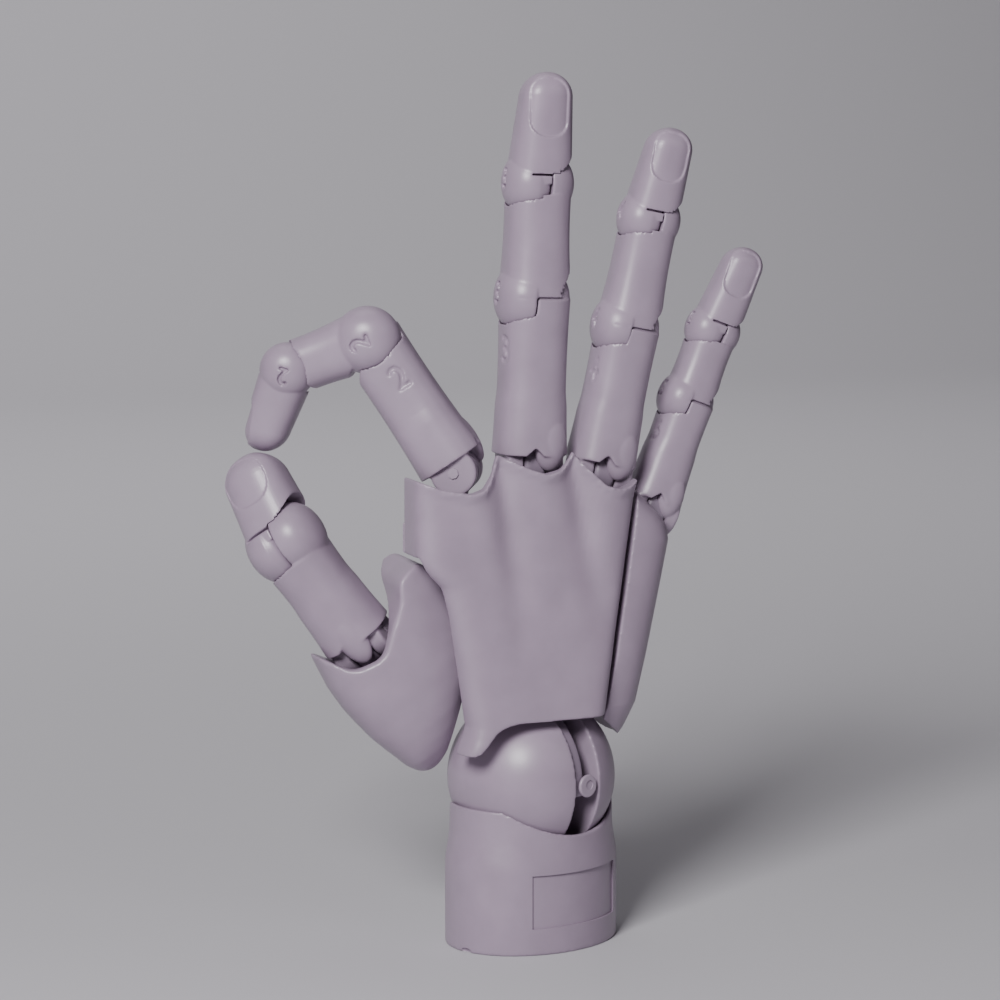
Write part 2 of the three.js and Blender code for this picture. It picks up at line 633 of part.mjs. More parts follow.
// Room for the other half of the lap
function lapRoom(width, side) {
  const from = -side * LAP_GAP / 2;
  const ends = [from, side * FAR].sort((a, b) => a - b);
  return solid(rodX(lugRadius(width) + PLAY, ...ends));
}

// Room on the palm side for a bend; up is +1 where the bone lies above its hinge
function foldRoom(angle, up) {
  const rise = Math.tan(rad(angle)) * FAR;
  return solid(slabX([[0, 0], [FAR, up * rise], [FAR, -up * FAR], [0, -up * FAR]], -FAR, FAR));
}

function pinHole(width) {
  const end = width / 2 - PIN_END_INSET + PLAY;
  return solid(rodX(PIN_RADIUS + PLAY, -end, end, PIN_SIDES));
}

function addPin(group, name, width) {
  const end = width / 2 - PIN_END_INSET;
  addPiece(group, name, solid(rodX(PIN_RADIUS, -end, end, PIN_SIDES)), PIN_PLASTIC);
}

const lift = (shape, z) => moved(shape, new THREE.Matrix4().makeTranslation(0, 0, z));

// A bone's oval shaft, slightly waisted, from one height to another
function shaft(widthLow, widthHigh, from, to) {
  const waist = (widthLow + widthHigh) / 4 - SHAFT_WAIST;
  return [[0, from], [widthLow / 2, from], [waist, (from + to) / 2], [widthHigh / 2, to], [0, to]];
}

// Cut a bone's lower end for its lap hinge, and add the thumb-side disc
function lapLow(shape, width, fold) {
  return shape
    .subtract(foldRoom(fold, 1))
    .subtract(lapRoom(width, 1))
    .add(lug(width, -1))
    .subtract(pinHole(width));
}

// Cut a bone's upper end for its lap hinge, and add the other disc
function lapHigh(shape, length, width, fold) {
  return shape
    .subtract(lift(foldRoom(fold, -1), length))
    .subtract(lift(lapRoom(width, -1), length))
    .add(lift(lug(width, 1), length))
    .subtract(lift(pinHole(width), length));
}

// First bone: a fork of two rounded lobes over the knuckle's tongue, a lap hinge above
function forkedBone(length, widthLow, widthHigh, fold) {
  const half = widthLow / 2;
  const body = solid(ovalBar(shaft(widthLow, widthHigh, -half, length - RIM_BACK), DEPTH_RATIO));
  const lobes = solid(ball(half)).add(solid(box([-FAR, -FAR, 0], [FAR, FAR, FAR])));
  const slotHalf = TONGUE_WIDTH / 2 + PLAY;
  const slot = solid(rodX(TONGUE_RADIUS + PLAY, -slotHalf, slotHalf))
    .add(solid(box([-slotHalf, -FAR, -FAR], [slotHalf, 0, 0])))
    .add(solid(box([-slotHalf, -PLAY, -FAR], [slotHalf, FAR, STEM_RADIUS + PLAY])));
  const bone = body.intersect(lobes).subtract(slot).subtract(pinHole(widthLow));
  return lapHigh(bone, length, widthHigh, fold);
}

function middleBone(length, widthLow, widthHigh, foldLow, foldHigh) {
  const body = solid(ovalBar(shaft(widthLow, widthHigh, RIM_BACK, length - RIM_BACK), DEPTH_RATIO));
  return lapLow(lapHigh(body, length, widthHigh, foldHigh), widthLow, foldLow);
}

// Last bone: tapers to a rounded tip
function tipBone(length, widthLow, widthTip, fold) {
  const tip = widthTip / 2;
  const shoulder = length - tip;
  const profile = [[0, RIM_BACK], [widthLow / 2, RIM_BACK]];
  for (let i = 0; i <= TIP_STEPS; i += 1) {
    const angle = (i / TIP_STEPS) * Math.PI / 2;
    profile.push([tip * Math.cos(angle), shoulder + tip * Math.sin(angle)]);
  }
  profile[profile.length - 1][0] = 0;
  const bar = ovalBar(profile, DEPTH_RATIO);
  const lean = new THREE.Matrix4().makeShear(0, 0, 0, 0, 0, -TIP_SET / length);
  return lapLow(solid(bar.applyMatrix4(lean)), widthLow, fold);
}

// Knuckle: a stem that turns in its bore, with a round tongue for the fork
function knuckle(width, stemLength) {
  const half = TONGUE_WIDTH / 2;
  return solid(rodX(TONGUE_RADIUS, -half, half))
    .add(solid(rodZ(STEM_RADIUS, -stemLength, 0, PIN_SIDES)))
    .subtract(pinHole(width));
}

// A finger's chain of groups, each turned about its joint
function addFinger(parent, { name, knuckle: centre, bones, widths, lean, turn, bends }) {
  const root = addGroup(parent, `${name}_root`, centre);
  root.rotation.y = rad(lean);
  const stem = addGroup(root, `${name}_turn`);
  stem.rotation.z = rad(turn);
  addPiece(stem, `${name}_knuckle`, knuckle(widths[0], STEM_LENGTH), INNER_PLASTIC);
  const proximal = addGroup(stem, `${name}_mcp`);
  proximal.rotation.x = rad(-bends[0]);
  addPiece(proximal, `${name}_proximal`, forkedBone(bones[0], widths[0], widths[1], PIP_FOLD));
  addPin(proximal, `${name}_mcp_pin`, widths[0]);
  const middle = addGroup(proximal, `${name}_pip`, [0, 0, bones[0]]);
  middle.rotation.x = rad(-bends[1]);
  addPiece(middle, `${name}_middle`, middleBone(bones[1], widths[1], widths[2], PIP_FOLD, DIP_FOLD));
  addPin(middle, `${name}_pip_pin`, widths[1]);
  const distal = addGroup(middle, `${name}_dip`, [0, 0, bones[1]]);
  distal.rotation.x = rad(-bends[2]);
  addPiece(distal, `${name}_distal`, tipBone(bones[2], widths[2], widths[3], DIP_FOLD));
  addPin(distal, `${name}_dip_pin`, widths[2]);
}

// Thumb: a root shell hinged on the palm's ears, a turning knuckle and two bones
function addThumb(palm) {
  const swing = addGroup(palm, 'thumb_swing');
  swing.applyMatrix4(thumbAxis);
  const back = thumbAxis.clone().invert();
  const aimed = new THREE.Euler(rad(-THUMB_TILT), rad(THUMB_LEAN), 0, 'YXZ');
  const along = new THREE.Matrix4().makeRotationFromEuler(aimed).setPosition(...THUMB_KNUCKLE);
  const belly = ovalBar(THUMB_SHELL_PROFILE, THUMB_SHELL_DEPTH_RATIO, SHELL_SIDES).applyMatrix4(along);
  const stem = rodZ(STEM_RADIUS + PLAY, -THUMB_STEM_LENGTH - PLAY, 0, PIN_SIDES).applyMatrix4(along);
  const bendHalf = THUMB_WIDTHS[0] / 2 + LOBE_ROOM;
  const bendRoom = box([-bendHalf, 0, -THUMB_BEND_DROP], [bendHalf, FAR, FAR])
    .rotateZ(rad(THUMB_TURN))
    .applyMatrix4(along);
  const shape = solid(slabY(THUMB_SHELL_OUTLINE, -FAR, FAR))
    .intersect(solid(belly))
    .subtract(at(ball(THUMB_WIDTHS[0] / 2 + LOBE_ROOM), THUMB_KNUCKLE))
    .subtract(solid(bendRoom))
    .subtract(solid(stem))
    .subtract(at(ball(BALL_RADIUS + 2 * BALL_PLAY), [0, 0, WRIST_HEIGHT]));
  const edge = solid(box([0, -FAR, -FAR], [FAR, FAR, FAR]))
    .subtract(solid(rodZ(THUMB_HINGE_EDGE, -FAR, FAR)));
  const rooms = [
    edge,
    ...ears(THUMB_EAR_PLACES, thumbArm, PLAY),
    ...earNotches(THUMB_EAR_PLACES, 1),
    earPin(THUMB_PIN_SPAN, PLAY),
  ];
  addPiece(swing, 'thumb_metacarpal', cutAll(moved(shape, back), rooms));
  addPiece(swing, 'thumb_base_pin', earPin(THUMB_PIN_SPAN, 0), PIN_PLASTIC);

  const aim = addGroup(swing, 'thumb_root');
  aim.applyMatrix4(back.clone().multiply(along));
  const turn = addGroup(aim, 'thumb_turn');
  turn.rotation.z = rad(THUMB_TURN);
  addPiece(turn, 'thumb_knuckle', knuckle(THUMB_WIDTHS[0], THUMB_STEM_LENGTH), INNER_PLASTIC);
  const proximal = addGroup(turn, 'thumb_mp');
  const [low, high, tip] = THUMB_WIDTHS;
  addPiece(proximal, 'thumb_proximal', forkedBone(THUMB_BONES[0], low, high, PIP_FOLD));
  addPin(proximal, 'thumb_mp_pin', low);
  const distal = addGroup(proximal, 'thumb_ip', [0, 0, THUMB_BONES[0]]);
  distal.rotation.x = rad(-THUMB_IP_BEND);
  addPiece(distal, 'thumb_distal', tipBone(THUMB_BONES[1], high, tip, PIP_FOLD));
  addPin(distal, 'thumb_ip_pin', high);
}

const hand = new THREE.Group();
const forearm = addForearm(hand);
const wristTurn = addBall(forearm);
const wristBend = addCore(wristTurn);
const palm = addPalm(wristBend);
const plate = addLittlePlate(palm);
for (const finger of FINGERS) {
  addFinger(finger.name === 'little' ? plate : palm, finger);
}
addThumb(palm);

export default hand;
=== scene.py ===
"""Looks of a poseable hand mannequin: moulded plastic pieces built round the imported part.

Pieces are modelled in millimetres in their own joint's frame, then put in place in metres.
"""
import json
import math
from collections import namedtuple

import bmesh
import bpy
from bpy.props import FloatProperty, FloatVectorProperty, PointerProperty
from mathutils import Matrix, Vector


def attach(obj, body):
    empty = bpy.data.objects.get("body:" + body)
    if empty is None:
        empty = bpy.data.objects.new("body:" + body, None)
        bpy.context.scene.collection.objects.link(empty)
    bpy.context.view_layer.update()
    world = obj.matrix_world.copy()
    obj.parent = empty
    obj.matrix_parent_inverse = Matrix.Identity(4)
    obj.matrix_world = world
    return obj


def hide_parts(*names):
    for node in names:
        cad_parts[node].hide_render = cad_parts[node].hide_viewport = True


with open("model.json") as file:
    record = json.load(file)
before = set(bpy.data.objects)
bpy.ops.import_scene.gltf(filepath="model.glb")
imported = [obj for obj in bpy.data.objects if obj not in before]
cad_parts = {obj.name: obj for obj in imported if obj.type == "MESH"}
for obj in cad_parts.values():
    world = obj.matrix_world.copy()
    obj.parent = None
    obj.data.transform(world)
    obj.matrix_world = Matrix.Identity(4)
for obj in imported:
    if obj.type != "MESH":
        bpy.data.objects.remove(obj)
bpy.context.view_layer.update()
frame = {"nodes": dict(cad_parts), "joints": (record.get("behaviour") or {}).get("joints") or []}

bl_info = {
    "name": "Poseable hand mannequin",
    "version": (1, 0, 0),
    "blender": (4, 5, 0),
    "location": "View3D > Sidebar > Hand",
    "description": "Builds the moulded pieces of a jointed hand on a forearm stub",
    "category": "Add Mesh",
}

JOINTS = {joint["name"]: joint for joint in frame["joints"]}
FINGERS = ("index", "middle", "ring", "little")
DIGITS = {"index": "2", "middle": "3", "ring": "4", "little": "5"}
MM_PER_M = 1000

# Joint forms shared by every finger, in millimetres
DEPTH_RATIO = 0.97
LUG_DOME = 1.1
BARREL_ROOT = 0.1
BARREL_EASE = 0.26
BARREL_EASE_DEPTH = 0.45
BARREL_SQUARE = 2.3
BARREL_END = 0.9999
BARREL_STEPS = 24
LAP_GAP = 0.3
LAP_OVERLAP = 0.05
SLIT = 0.55
SLIT_DEPTH = 0.72
PLAY = 0.3
SHAFT_WAIST = 0.5
TIP_SET = 2.4
TIP_LEAN = 0.8
TIP_END = 0.04
TONGUE_WIDTH = 6.0
TONGUE_RADIUS = 6.0
TONGUE_EDGE = 1.2
STEM_RADIUS = 3.0
STEM_LENGTH = 20.0
STEM_EDGE = 0.5
PIP_FOLD = math.radians(46)
DIP_FOLD = math.radians(36)
REST_BENDS = {"index": math.radians(54), "thumb": math.radians(30)}
COLLAR_RISE = 2.4
COLLAR_TOP = 15.0
COLLAR_STEP = 0.35
COLLAR_BLEND = 3.5
LOBE_RADIUS = 6.0
LOBE_OUT = 7.6
LOBE_INSET = 1.0
LOBE_EDGE = 0.7
LOBE_ROOM = 1.2
# Radii and place of the drop-shaped swelling on a collar, as shares of its half width
FINGER_BULB = ((0.46, 0.3, 0.8), (0.36, -0.665, 0.62))
THUMB_BULB = ((0.42, 0.22, 0.78), (0.1, -0.765, 0.4))
BULB_SIDES = 32
NOTCH_HALF = 1.6
NOTCH_PLACE = -0.12
NOTCH_END = 0.4
NAIL_HALF = 0.38
NAIL_ROOT = 0.42
NAIL_END = 0.1
NAIL_ROUND = 0.86
NAIL_STEPS = 10
# Powers of the ovals that sections are drawn with, and how finely shapes are divided
SQUARE, ROUND = 2.6, 2.0
SIDES = 64
STEPS = 22
FLOOR_STEPS = 88
EDGE_STEPS = 6
# Lengths that reach past everything in the hand
FAR, FARTHER = 90.0, 95.0

# How the halves of a hinge lap: where they meet across the finger, how far the cheek lies under the skin,
# how far the bone above ends over the axis and the bone below under it, where the slit starts, and how
# much the hinge swells over the bone
Lap = namedtuple("Lap", "place relief rise drop slit swell")
PIP_LAP = Lap(place=-1.8, relief=1.4, rise=0.5, drop=0.0, slit=-0.38, swell=1.03)
DIP_LAP = Lap(place=1.2, relief=0.3, rise=2.6, drop=2.6, slit=-0.26, swell=1.03)
THUMB_LAP = Lap(place=0.6, relief=0.1, rise=3.4, drop=4.4, slit=-0.6, swell=1.06)

# Moulded numerals, as shares of a bone's width or in millimetres
NUMERAL_CAP = 0.7
NUMERAL_REACH = 2.2
NUMERAL_SINK = 0.9
NUMERAL_WEIGHT = 0.035
NUMERAL_STROKES = ((-1, -0.7), (1, -0.7), (0, 1.1))
NUMERAL_GRAIN = 0.16
NUMERAL_WELD = 0.001
SHAFT_NUMERAL = 0.36
SHAFT_NUMERAL_ANGLE = math.radians(74)
SHAFT_NUMERAL_DROP = 0.73
SHAFT_PLUG = 4.2
LUG_NUMERAL = 0.3
LUG_NUMERAL_RISE = 0.8

# Grain of the remeshed skins and how often they are relaxed, which rounds their edges
FINE, MEDIUM, COARSE = 0.26, 0.32, 0.42
CRISP, RELAX = 3, 5
RELAX_FACTOR = 0.5
SPECK_VERTS = 60
CORNER_EDGES = 3
SHARP = math.radians(50)

# Plastics: how glossy each one is, and how much their moulding clouds and roughens them
SKIN_ROUGHNESS, INNER_ROUGHNESS, PIN_ROUGHNESS = 0.34, 0.44, 0.33
PIN_GRAIN = 0.25
PLASTIC_IOR = 1.54
CLOUD_DETAIL, GRAIN_DETAIL = 3.0, 2.0
CLOUD_STOPS = ((0.3, 0.94), (0.7, 1.05))
SHEEN_SPREAD = (-0.04, 0.06)
GRAIN_STRENGTH = 0.05


def srgb(code):
    """Linear colour of an sRGB hex value."""
    parts = [int(code[i:i + 2], 16) / 255 for i in (1, 3, 5)]
    linear = [c / 12.92 if c <= 0.04045 else ((c + 0.055) / 1.055) ** 2.4 for c in parts]
    return (*linear, 1.0)


class HandSizes(bpy.types.PropertyGroup):
    """Sizes of the hand's pieces that a maker would change."""
    index_widths: FloatVectorProperty(
        name="Index widths", description="Widths at the knuckle, the two joints and the tip",
        size=4, unit="LENGTH", default=(0.0186, 0.0176, 0.0146, 0.0124))
    middle_widths: FloatVectorProperty(
        name="Middle widths", description="Widths at the knuckle, the two joints and the tip",
        size=4, unit="LENGTH", default=(0.0189, 0.0186, 0.0166, 0.0134))
    ring_widths: FloatVectorProperty(
        name="Ring widths", description="Widths at the knuckle, the two joints and the tip",
        size=4, unit="LENGTH", default=(0.018, 0.017, 0.0146, 0.0122))
    little_widths: FloatVectorProperty(
        name="Little widths", description="Widths at the knuckle, the two joints and the tip",
        size=4, unit="LENGTH", default=(0.0152, 0.0142, 0.0128, 0.0108))
    thumb_widths: FloatVectorProperty(
        name="Thumb widths", description="Widths at the knuckle, the joint and the tip",
        size=3, unit="LENGTH", default=(0.019, 0.0185, 0.0164))
    tip_lengths: FloatVectorProperty(
        name="Tip lengths", description="Last bones of the four fingers, index first, and the thumb",
        size=5, unit="LENGTH", default=(0.0225, 0.0284, 0.0244, 0.0236, 0.025))
    ball_radius: FloatProperty(
        name="Wrist ball radius", description="Radius of the ball in the forearm stub",
        unit="LENGTH", default=0.022)
    nail_sink: FloatProperty(
        name="Nail sink", description="How far the nails lie below the skin",
        unit="LENGTH", default=0.0006)


class HandColours(bpy.types.PropertyGroup):
    """Colours of the plastics and the stage; the inner plastic is the outer one darkened, as painted shade
    inside the hand.
    """
    skin: FloatVectorProperty(
        name="Outer plastic", description="Colour of the moulded outer pieces",
        subtype="COLOR", size=4, min=0, max=1, default=srgb("#9E8DA0"))
    # The inner pieces are the same plastic as the outer ones; this darker colour paints the shade inside the
    # hand.
    inner: FloatVectorProperty(
        name="Inner plastic, darkened as painted shade", description="Colour of the pieces inside the hand",
        subtype="COLOR", size=4, min=0, max=1, default=srgb("#8A7B8D"))
    pins: FloatVectorProperty(
        name="Pin plastic", description="Colour of the pins and screws",
        subtype="COLOR", size=4, min=0, max=1, default=srgb("#A695A8"))
    floor: FloatVectorProperty(
        name="Floor", description="Colour of the floor and backdrop",
        subtype="COLOR", size=4, min=0, max=1, default=srgb("#C9C6CC"))


def sizes():
    return bpy.context.scene.hand_sizes


def colours():
    return bpy.context.scene.hand_colours


def millimetres(values):
    return [value * MM_PER_M for value in values]


# Materials


def add_node(tree, kind, settings=(), inputs=(), links=()):
    """Add a node, set it up, and link (source node, output, own input) into it."""
    node = tree.nodes.new(kind)
    for name, value in dict(settings).items():
        setattr(node, name, value)
    for name, value in dict(inputs).items():
        node.inputs[name].default_value = value
    for source, output, name in links:
        tree.links.new(source.outputs[output], node.inputs[name])
    return node


def moulded_abs(name, colour, roughness, grain_mm=0.35, bloom_mm=9.0):
    """Injection-moulded ABS: a satin sheen from a lightly spark-eroded mould, and faint flow clouds."""
    found = bpy.data.materials.get(name)
    if found:
        return found
    material = bpy.data.materials.new(name)
    material.use_nodes = True
    tree = material.node_tree
    shader = tree.nodes["Principled BSDF"]
    shader.inputs["IOR"].default_value = PLASTIC_IOR
    place = add_node(tree, "ShaderNodeTexCoord")
    clouds = add_node(
        tree, "ShaderNodeTexNoise", inputs={"Scale": MM_PER_M / bloom_mm, "Detail": CLOUD_DETAIL},
        links=[(place, "Object", "Vector")])
    grain = add_node(
        tree, "ShaderNodeTexNoise", inputs={"Scale": MM_PER_M / grain_mm, "Detail": GRAIN_DETAIL},
        links=[(place, "Object", "Vector")])
    ramp = add_node(tree, "ShaderNodeValToRGB", links=[(clouds, "Fac", "Fac")])
    for stop, (position, shade) in zip(ramp.color_ramp.elements, CLOUD_STOPS):
        stop.position = position
        stop.color = [*(c * shade for c in colour[:3]), 1]
    low, high = (roughness + spread for spread in SHEEN_SPREAD)
    sheen = add_node(
        tree, "ShaderNodeMapRange", inputs={"To Min": low, "To Max": high}, links=[(clouds, "Fac", "Value")])
    bump = add_node(
        tree, "ShaderNodeBump", inputs={"Strength": GRAIN_STRENGTH, "Distance": grain_mm / MM_PER_M},
        links=[(grain, "Fac", "Height")])
    tree.links.new(ramp.outputs["Color"], shader.inputs["Base Color"])
    tree.links.new(sheen.outputs["Result"], shader.inputs["Roughness"])
    tree.links.new(bump.outputs["Normal"], shader.inputs["Normal"])
    return material


def skin_plastic():
    return moulded_abs("moulded ABS, outer", colours().skin, SKIN_ROUGHNESS)


# Material of the inner pieces: the outer plastic with its colour darkened as painted shade.
def shaded_inner_plastic():
    return moulded_abs("moulded ABS, inner", colours().inner, INNER_ROUGHNESS)


def pin_plastic():
    return moulded_abs("moulded acetal, pins", colours().pins, PIN_ROUGHNESS, PIN_GRAIN)


# Shapes in a bmesh, in millimetres


def ring_edges(verts):
    """Edges between the vertices of a ring, each once and in a fixed order."""
    chosen = set(verts)
    edges = (edge for vert in verts for edge in vert.link_edges if edge.other_vert(vert) in chosen)
    return list(dict.fromkeys(edges))


def squared(verts, power):
    """Square off a ring of radius one, so that ovals look moulded and not turned."""
    for vert in verts:
        vert.co *= (abs(vert.co.x) ** power + abs(vert.co.y) ** power) ** (-1 / power)


def loft(bm, sections, sides=SIDES, power=SQUARE):
    """Oval sections (height, half width, half depth, x, y) bridged in order and closed at both ends."""
    rings = []
    for height, half_width, half_depth, x, y in sections:
        verts = bmesh.ops.create_circle(bm, segments=sides, radius=1)["verts"]
        squared(verts, power)
        bmesh.ops.scale(bm, vec=(half_width, half_depth, 1), verts=verts)
        bmesh.ops.translate(bm, vec=(x, y, height), verts=verts)
        rings.append(ring_edges(verts))
    for low, high in zip(rings, rings[1:]):
        bmesh.ops.bridge_loops(bm, edges=low + high)
    for end in (rings[0], rings[-1]):
        bmesh.ops.edgeloop_fill(bm, edges=end)
    bmesh.ops.recalc_face_normals(bm, faces=bm.faces)


def block(bm, low, high, matrix=Matrix()):
    """A box between two corners."""
    low, high = Vector(low), Vector(high)
    size = Matrix.Diagonal((*(high - low), 1))
    bmesh.ops.create_cube(bm, size=1, matrix=matrix @ Matrix.Translation((low + high) / 2) @ size)


def upright_edges(bm):
    """Edges that run along Y."""
    return [edge for edge in bm.edges if abs(edge.verts[0].co.y - edge.verts[1].co.y) > 1]


def rounded(bm, edges, radius, steps=EDGE_STEPS, clamp_overlap=False):
    """Round edges off to a radius."""
    bmesh.ops.bevel(
        bm, geom=edges, offset=radius, offset_type="OFFSET", segments=steps, profile=0.5,
        affect="EDGES", material=-1, clamp_overlap=clamp_overlap)


def disc(bm, radius, start, end, place=(0, 0, 0), edge=0.0, sides=SIDES, axis="X"):
    """A round bar along an axis, with its rims rounded off where an edge is given."""
    turns = {
        "X": Matrix.Rotation(math.pi / 2, 4, "Y"), "Y": Matrix.Rotation(-math.pi / 2, 4, "X"), "Z": Matrix()}
    middle = Matrix.Translation((0, 0, (start + end) / 2))
    made = bmesh.ops.create_cone(
        bm, cap_ends=True, segments=sides, radius1=radius, radius2=radius, depth=abs(end - start),
        matrix=Matrix.Translation(place) @ turns[axis] @ middle)
    if edge:
        caps = [face for vert in made["verts"] for face in vert.link_faces if len(face.verts) == sides]
        rims = dict.fromkeys(rim for face in caps for rim in face.edges)
        rounded(bm, list(rims), edge)


def orb(bm, radii, place, sides=SIDES):
    """An ellipsoid."""
    matrix = Matrix.Translation(place) @ Matrix.Diagonal((*radii, 1))
    bmesh.ops.create_uvsphere(bm, u_segments=sides, v_segments=sides // 2, radius=1, matrix=matrix)


def prism(bm, outline, front, back, corner=0.0):
    """An outline in X and Z, thickened along Y, with its upright corners rounded off."""
    verts = bmesh.ops.create_circle(bm, cap_ends=True, segments=len(outline), radius=1)["verts"]
    for vert, (x, z) in zip(verts, outline):
        vert.co = (x, front, z)
    grown = bmesh.ops.extrude_face_region(bm, geom=bm.faces[:])
    moved = [item for item in grown["geom"] if isinstance(item, bmesh.types.BMVert)]
    bmesh.ops.translate(bm, vec=(0, back - front, 0), verts=moved)
    if corner:
        rounded(bm, upright_edges(bm), corner, clamp_overlap=True)
    bmesh.ops.recalc_face_normals(bm, faces=bm.faces)


def trim(bm, point, normal):
    """Cut away what lies behind a plane, and close the cut."""
    everything = bm.verts[:] + bm.edges[:] + bm.faces[:]
    split = bmesh.ops.bisect_plane(
        bm, geom=everything, plane_co=point, plane_no=normal, clear_inner=True)
    edges = [item for item in split["geom_cut"] if isinstance(item, bmesh.types.BMEdge)]
    bmesh.ops.edgeloop_fill(bm, edges=edges)
    bmesh.ops.recalc_face_normals(bm, faces=bm.faces)


# Pieces


def scratch(build, *args, **kwargs):
    """A scratch object from a function that fills a bmesh."""
    bm = bmesh.new()
    build(bm, *args, **kwargs)
    mesh = bpy.data.meshes.new("scratch")
    bm.to_mesh(mesh)
    bm.free()
    made = bpy.data.objects.new("scratch", mesh)
    bpy.context.scene.collection.objects.link(made)
    return made


def settle(made):
    """Apply an object's modifiers to its mesh."""
    depsgraph = bpy.context.evaluated_depsgraph_get()
    mesh = bpy.data.meshes.new_from_object(made.evaluated_get(depsgraph))
    made.modifiers.clear()
    made.data = mesh


def boolean(made, others, operation):
    """Cut other objects from an object, or join or intersect them, and use them up."""
    for other in others:
        modifier = made.modifiers.new(operation.lower(), "BOOLEAN")
        modifier.object = other
        modifier.operation = operation
        modifier.solver = "EXACT"
    bpy.context.view_layer.update()
    settle(made)
    if not made.data.polygons:
        raise RuntimeError(f"nothing is left after {operation.lower()}")
    for other in others:
        bpy.data.objects.remove(other)
    return made


def cut(made, *others):
    return boolean(made, others, "DIFFERENCE")


def merged(made, *others):
    """Put other objects' shells into an object; the skin joins them."""
    bm = bmesh.new()
    bm.from_mesh(made.data)
    for other in others:
        bm.from_mesh(other.data)
        bpy.data.objects.remove(other)
    bm.to_mesh(made.data)
    bm.free()
    return made


def drop_specks(mesh):
    """Delete the loose specks that a voxel skin leaves where a shell is thinner than its grain."""
    bm = bmesh.new()
    bm.from_mesh(mesh)
    specks = set()
    for vert in bm.verts:
        if len(vert.link_edges) == CORNER_EDGES and vert not in specks:
            shell, fresh = {vert}, {vert}
            while fresh and len(shell) < SPECK_VERTS:
                fresh = {edge.other_vert(item) for item in fresh for edge in item.link_edges} - shell
                shell |= fresh
            if not fresh:
                specks |= shell
    if specks:
        bmesh.ops.delete(bm, geom=list(specks), context="VERTS")
        bm.to_mesh(mesh)
    bm.free()


def skinned(made, grain, relax=RELAX):
    """One even skin over overlapping shells, relaxed so that its edges round off as moulded ones do."""
    remesh = made.modifiers.new("skin", "REMESH")
    remesh.mode = "VOXEL"
    remesh.voxel_size = grain
    smooth = made.modifiers.new("relax", "SMOOTH")
    smooth.factor = RELAX_FACTOR
    smooth.iterations = relax
    bpy.context.view_layer.update()
    settle(made)
    drop_specks(made.data)
    return made


def finished(made, name, body, nodes, material, matrix):
    """Name a piece, put it in place in metres, and tie it to its body, nodes and finish."""
    made.name = name
    made.data.name = name
    made.data.transform(matrix)
    made.data.polygons.foreach_set("use_smooth", [True] * len(made.data.polygons))
    made.data.set_sharp_from_angle(angle=SHARP)
    made.data.materials.clear()
    made.data.materials.append(material)
    made.data.update()
    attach(made, body)
    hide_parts(*nodes)
    return made


def outer(made, name, matrix, body=None):
    """Finish a piece in the outer plastic; its body has its node's name where none is given."""
    return finished(made, name + "_moulding", body or name, [name], skin_plastic(), matrix)


def inner(made, name, matrix, body=None):
    """Finish a piece in the inner plastic, whose darker colour is painted shade."""
    return finished(made, name + "_moulding", body or name, [name], shaded_inner_plastic(), matrix)


# Places


def joint_place(name):
    return Vector(JOINTS[name]["pos_m"])


def joint_axis(name):
    return Vector(JOINTS[name]["axis"]).normalized()


def to_row(origin, x, along):
    """Matrix from a frame in millimetres, X across and Z along, to the row frame in metres."""
    z = (along - along.dot(x) * x).normalized()
    y = z.cross(x)
    turn = Matrix((x, y, z)).transposed().to_4x4()
    return Matrix.Translation(origin) @ turn @ Matrix.Scale(1 / MM_PER_M, 4)


def bone_frames(finger, joints):
    """Matrices and lengths of a finger's bones; the last bone's length comes from its own size."""
    places = [joint_place(f"{finger}_{joint}") for joint in joints]
    frames = []
    for i, joint in enumerate(joints[:-1]):
        along = places[i + 1] - places[i]
        frames.append((to_row(places[i], -joint_axis(f"{finger}_{joint}"), along), along.length * MM_PER_M))
    x = -joint_axis(f"{finger}_{joints[-1]}")
    bend = Matrix.Rotation(-REST_BENDS.get(finger, 0.0), 3, x)
    along = bend @ (places[-1] - places[-2])
    order = (*FINGERS, "thumb")
    length = sizes().tip_lengths[order.index(finger)] * MM_PER_M
    frames.append((to_row(places[-1], x, along), length))
    return frames


PALM_FRAME = Matrix.Scale(1 / MM_PER_M, 4)


def stub_frame():
    """The forearm stub's frame: its slot axis is X, and its origin is on the floor."""
    x = -joint_axis("wrist_bend")
    return to_row(Vector((0, 0, 0)), x, Vector((0, 0, 1)))


def round_room(centre, radius, sides=SIDES):
    """A ball to cut out round a point."""
    return scratch(orb, (radius, radius, radius), centre, sides)


def knuckle_room(joint, width):
    """Room for the lobes of a bone of some width that turns about a joint."""
    return round_room(joint_place(joint) * MM_PER_M, width / 2 + LOBE_ROOM)


def wrist_centre():
    return Vector((0, 0, joint_place("wrist_bend").z * MM_PER_M))


def wrist_room(gap, sides=SIDES):
    """Room for the wrist ball, with a gap round it."""
    return round_room(wrist_centre(), sizes().ball_radius * MM_PER_M + gap, sides)


# Finger bones


def barrel_radius(width, lap):
    return width / 2 * DEPTH_RATIO * lap.swell


def shaft_sections(low_width, high_width, start, end, sink=0.0, steps=STEPS):
    for i in range(steps + 1):
        t = i / steps
        half = (low_width + (high_width - low_width) * t) / 2 - SHAFT_WAIST * 4 * t * (1 - t) - sink
        yield start + (end - start) * t, half, half * DEPTH_RATIO, 0, 0


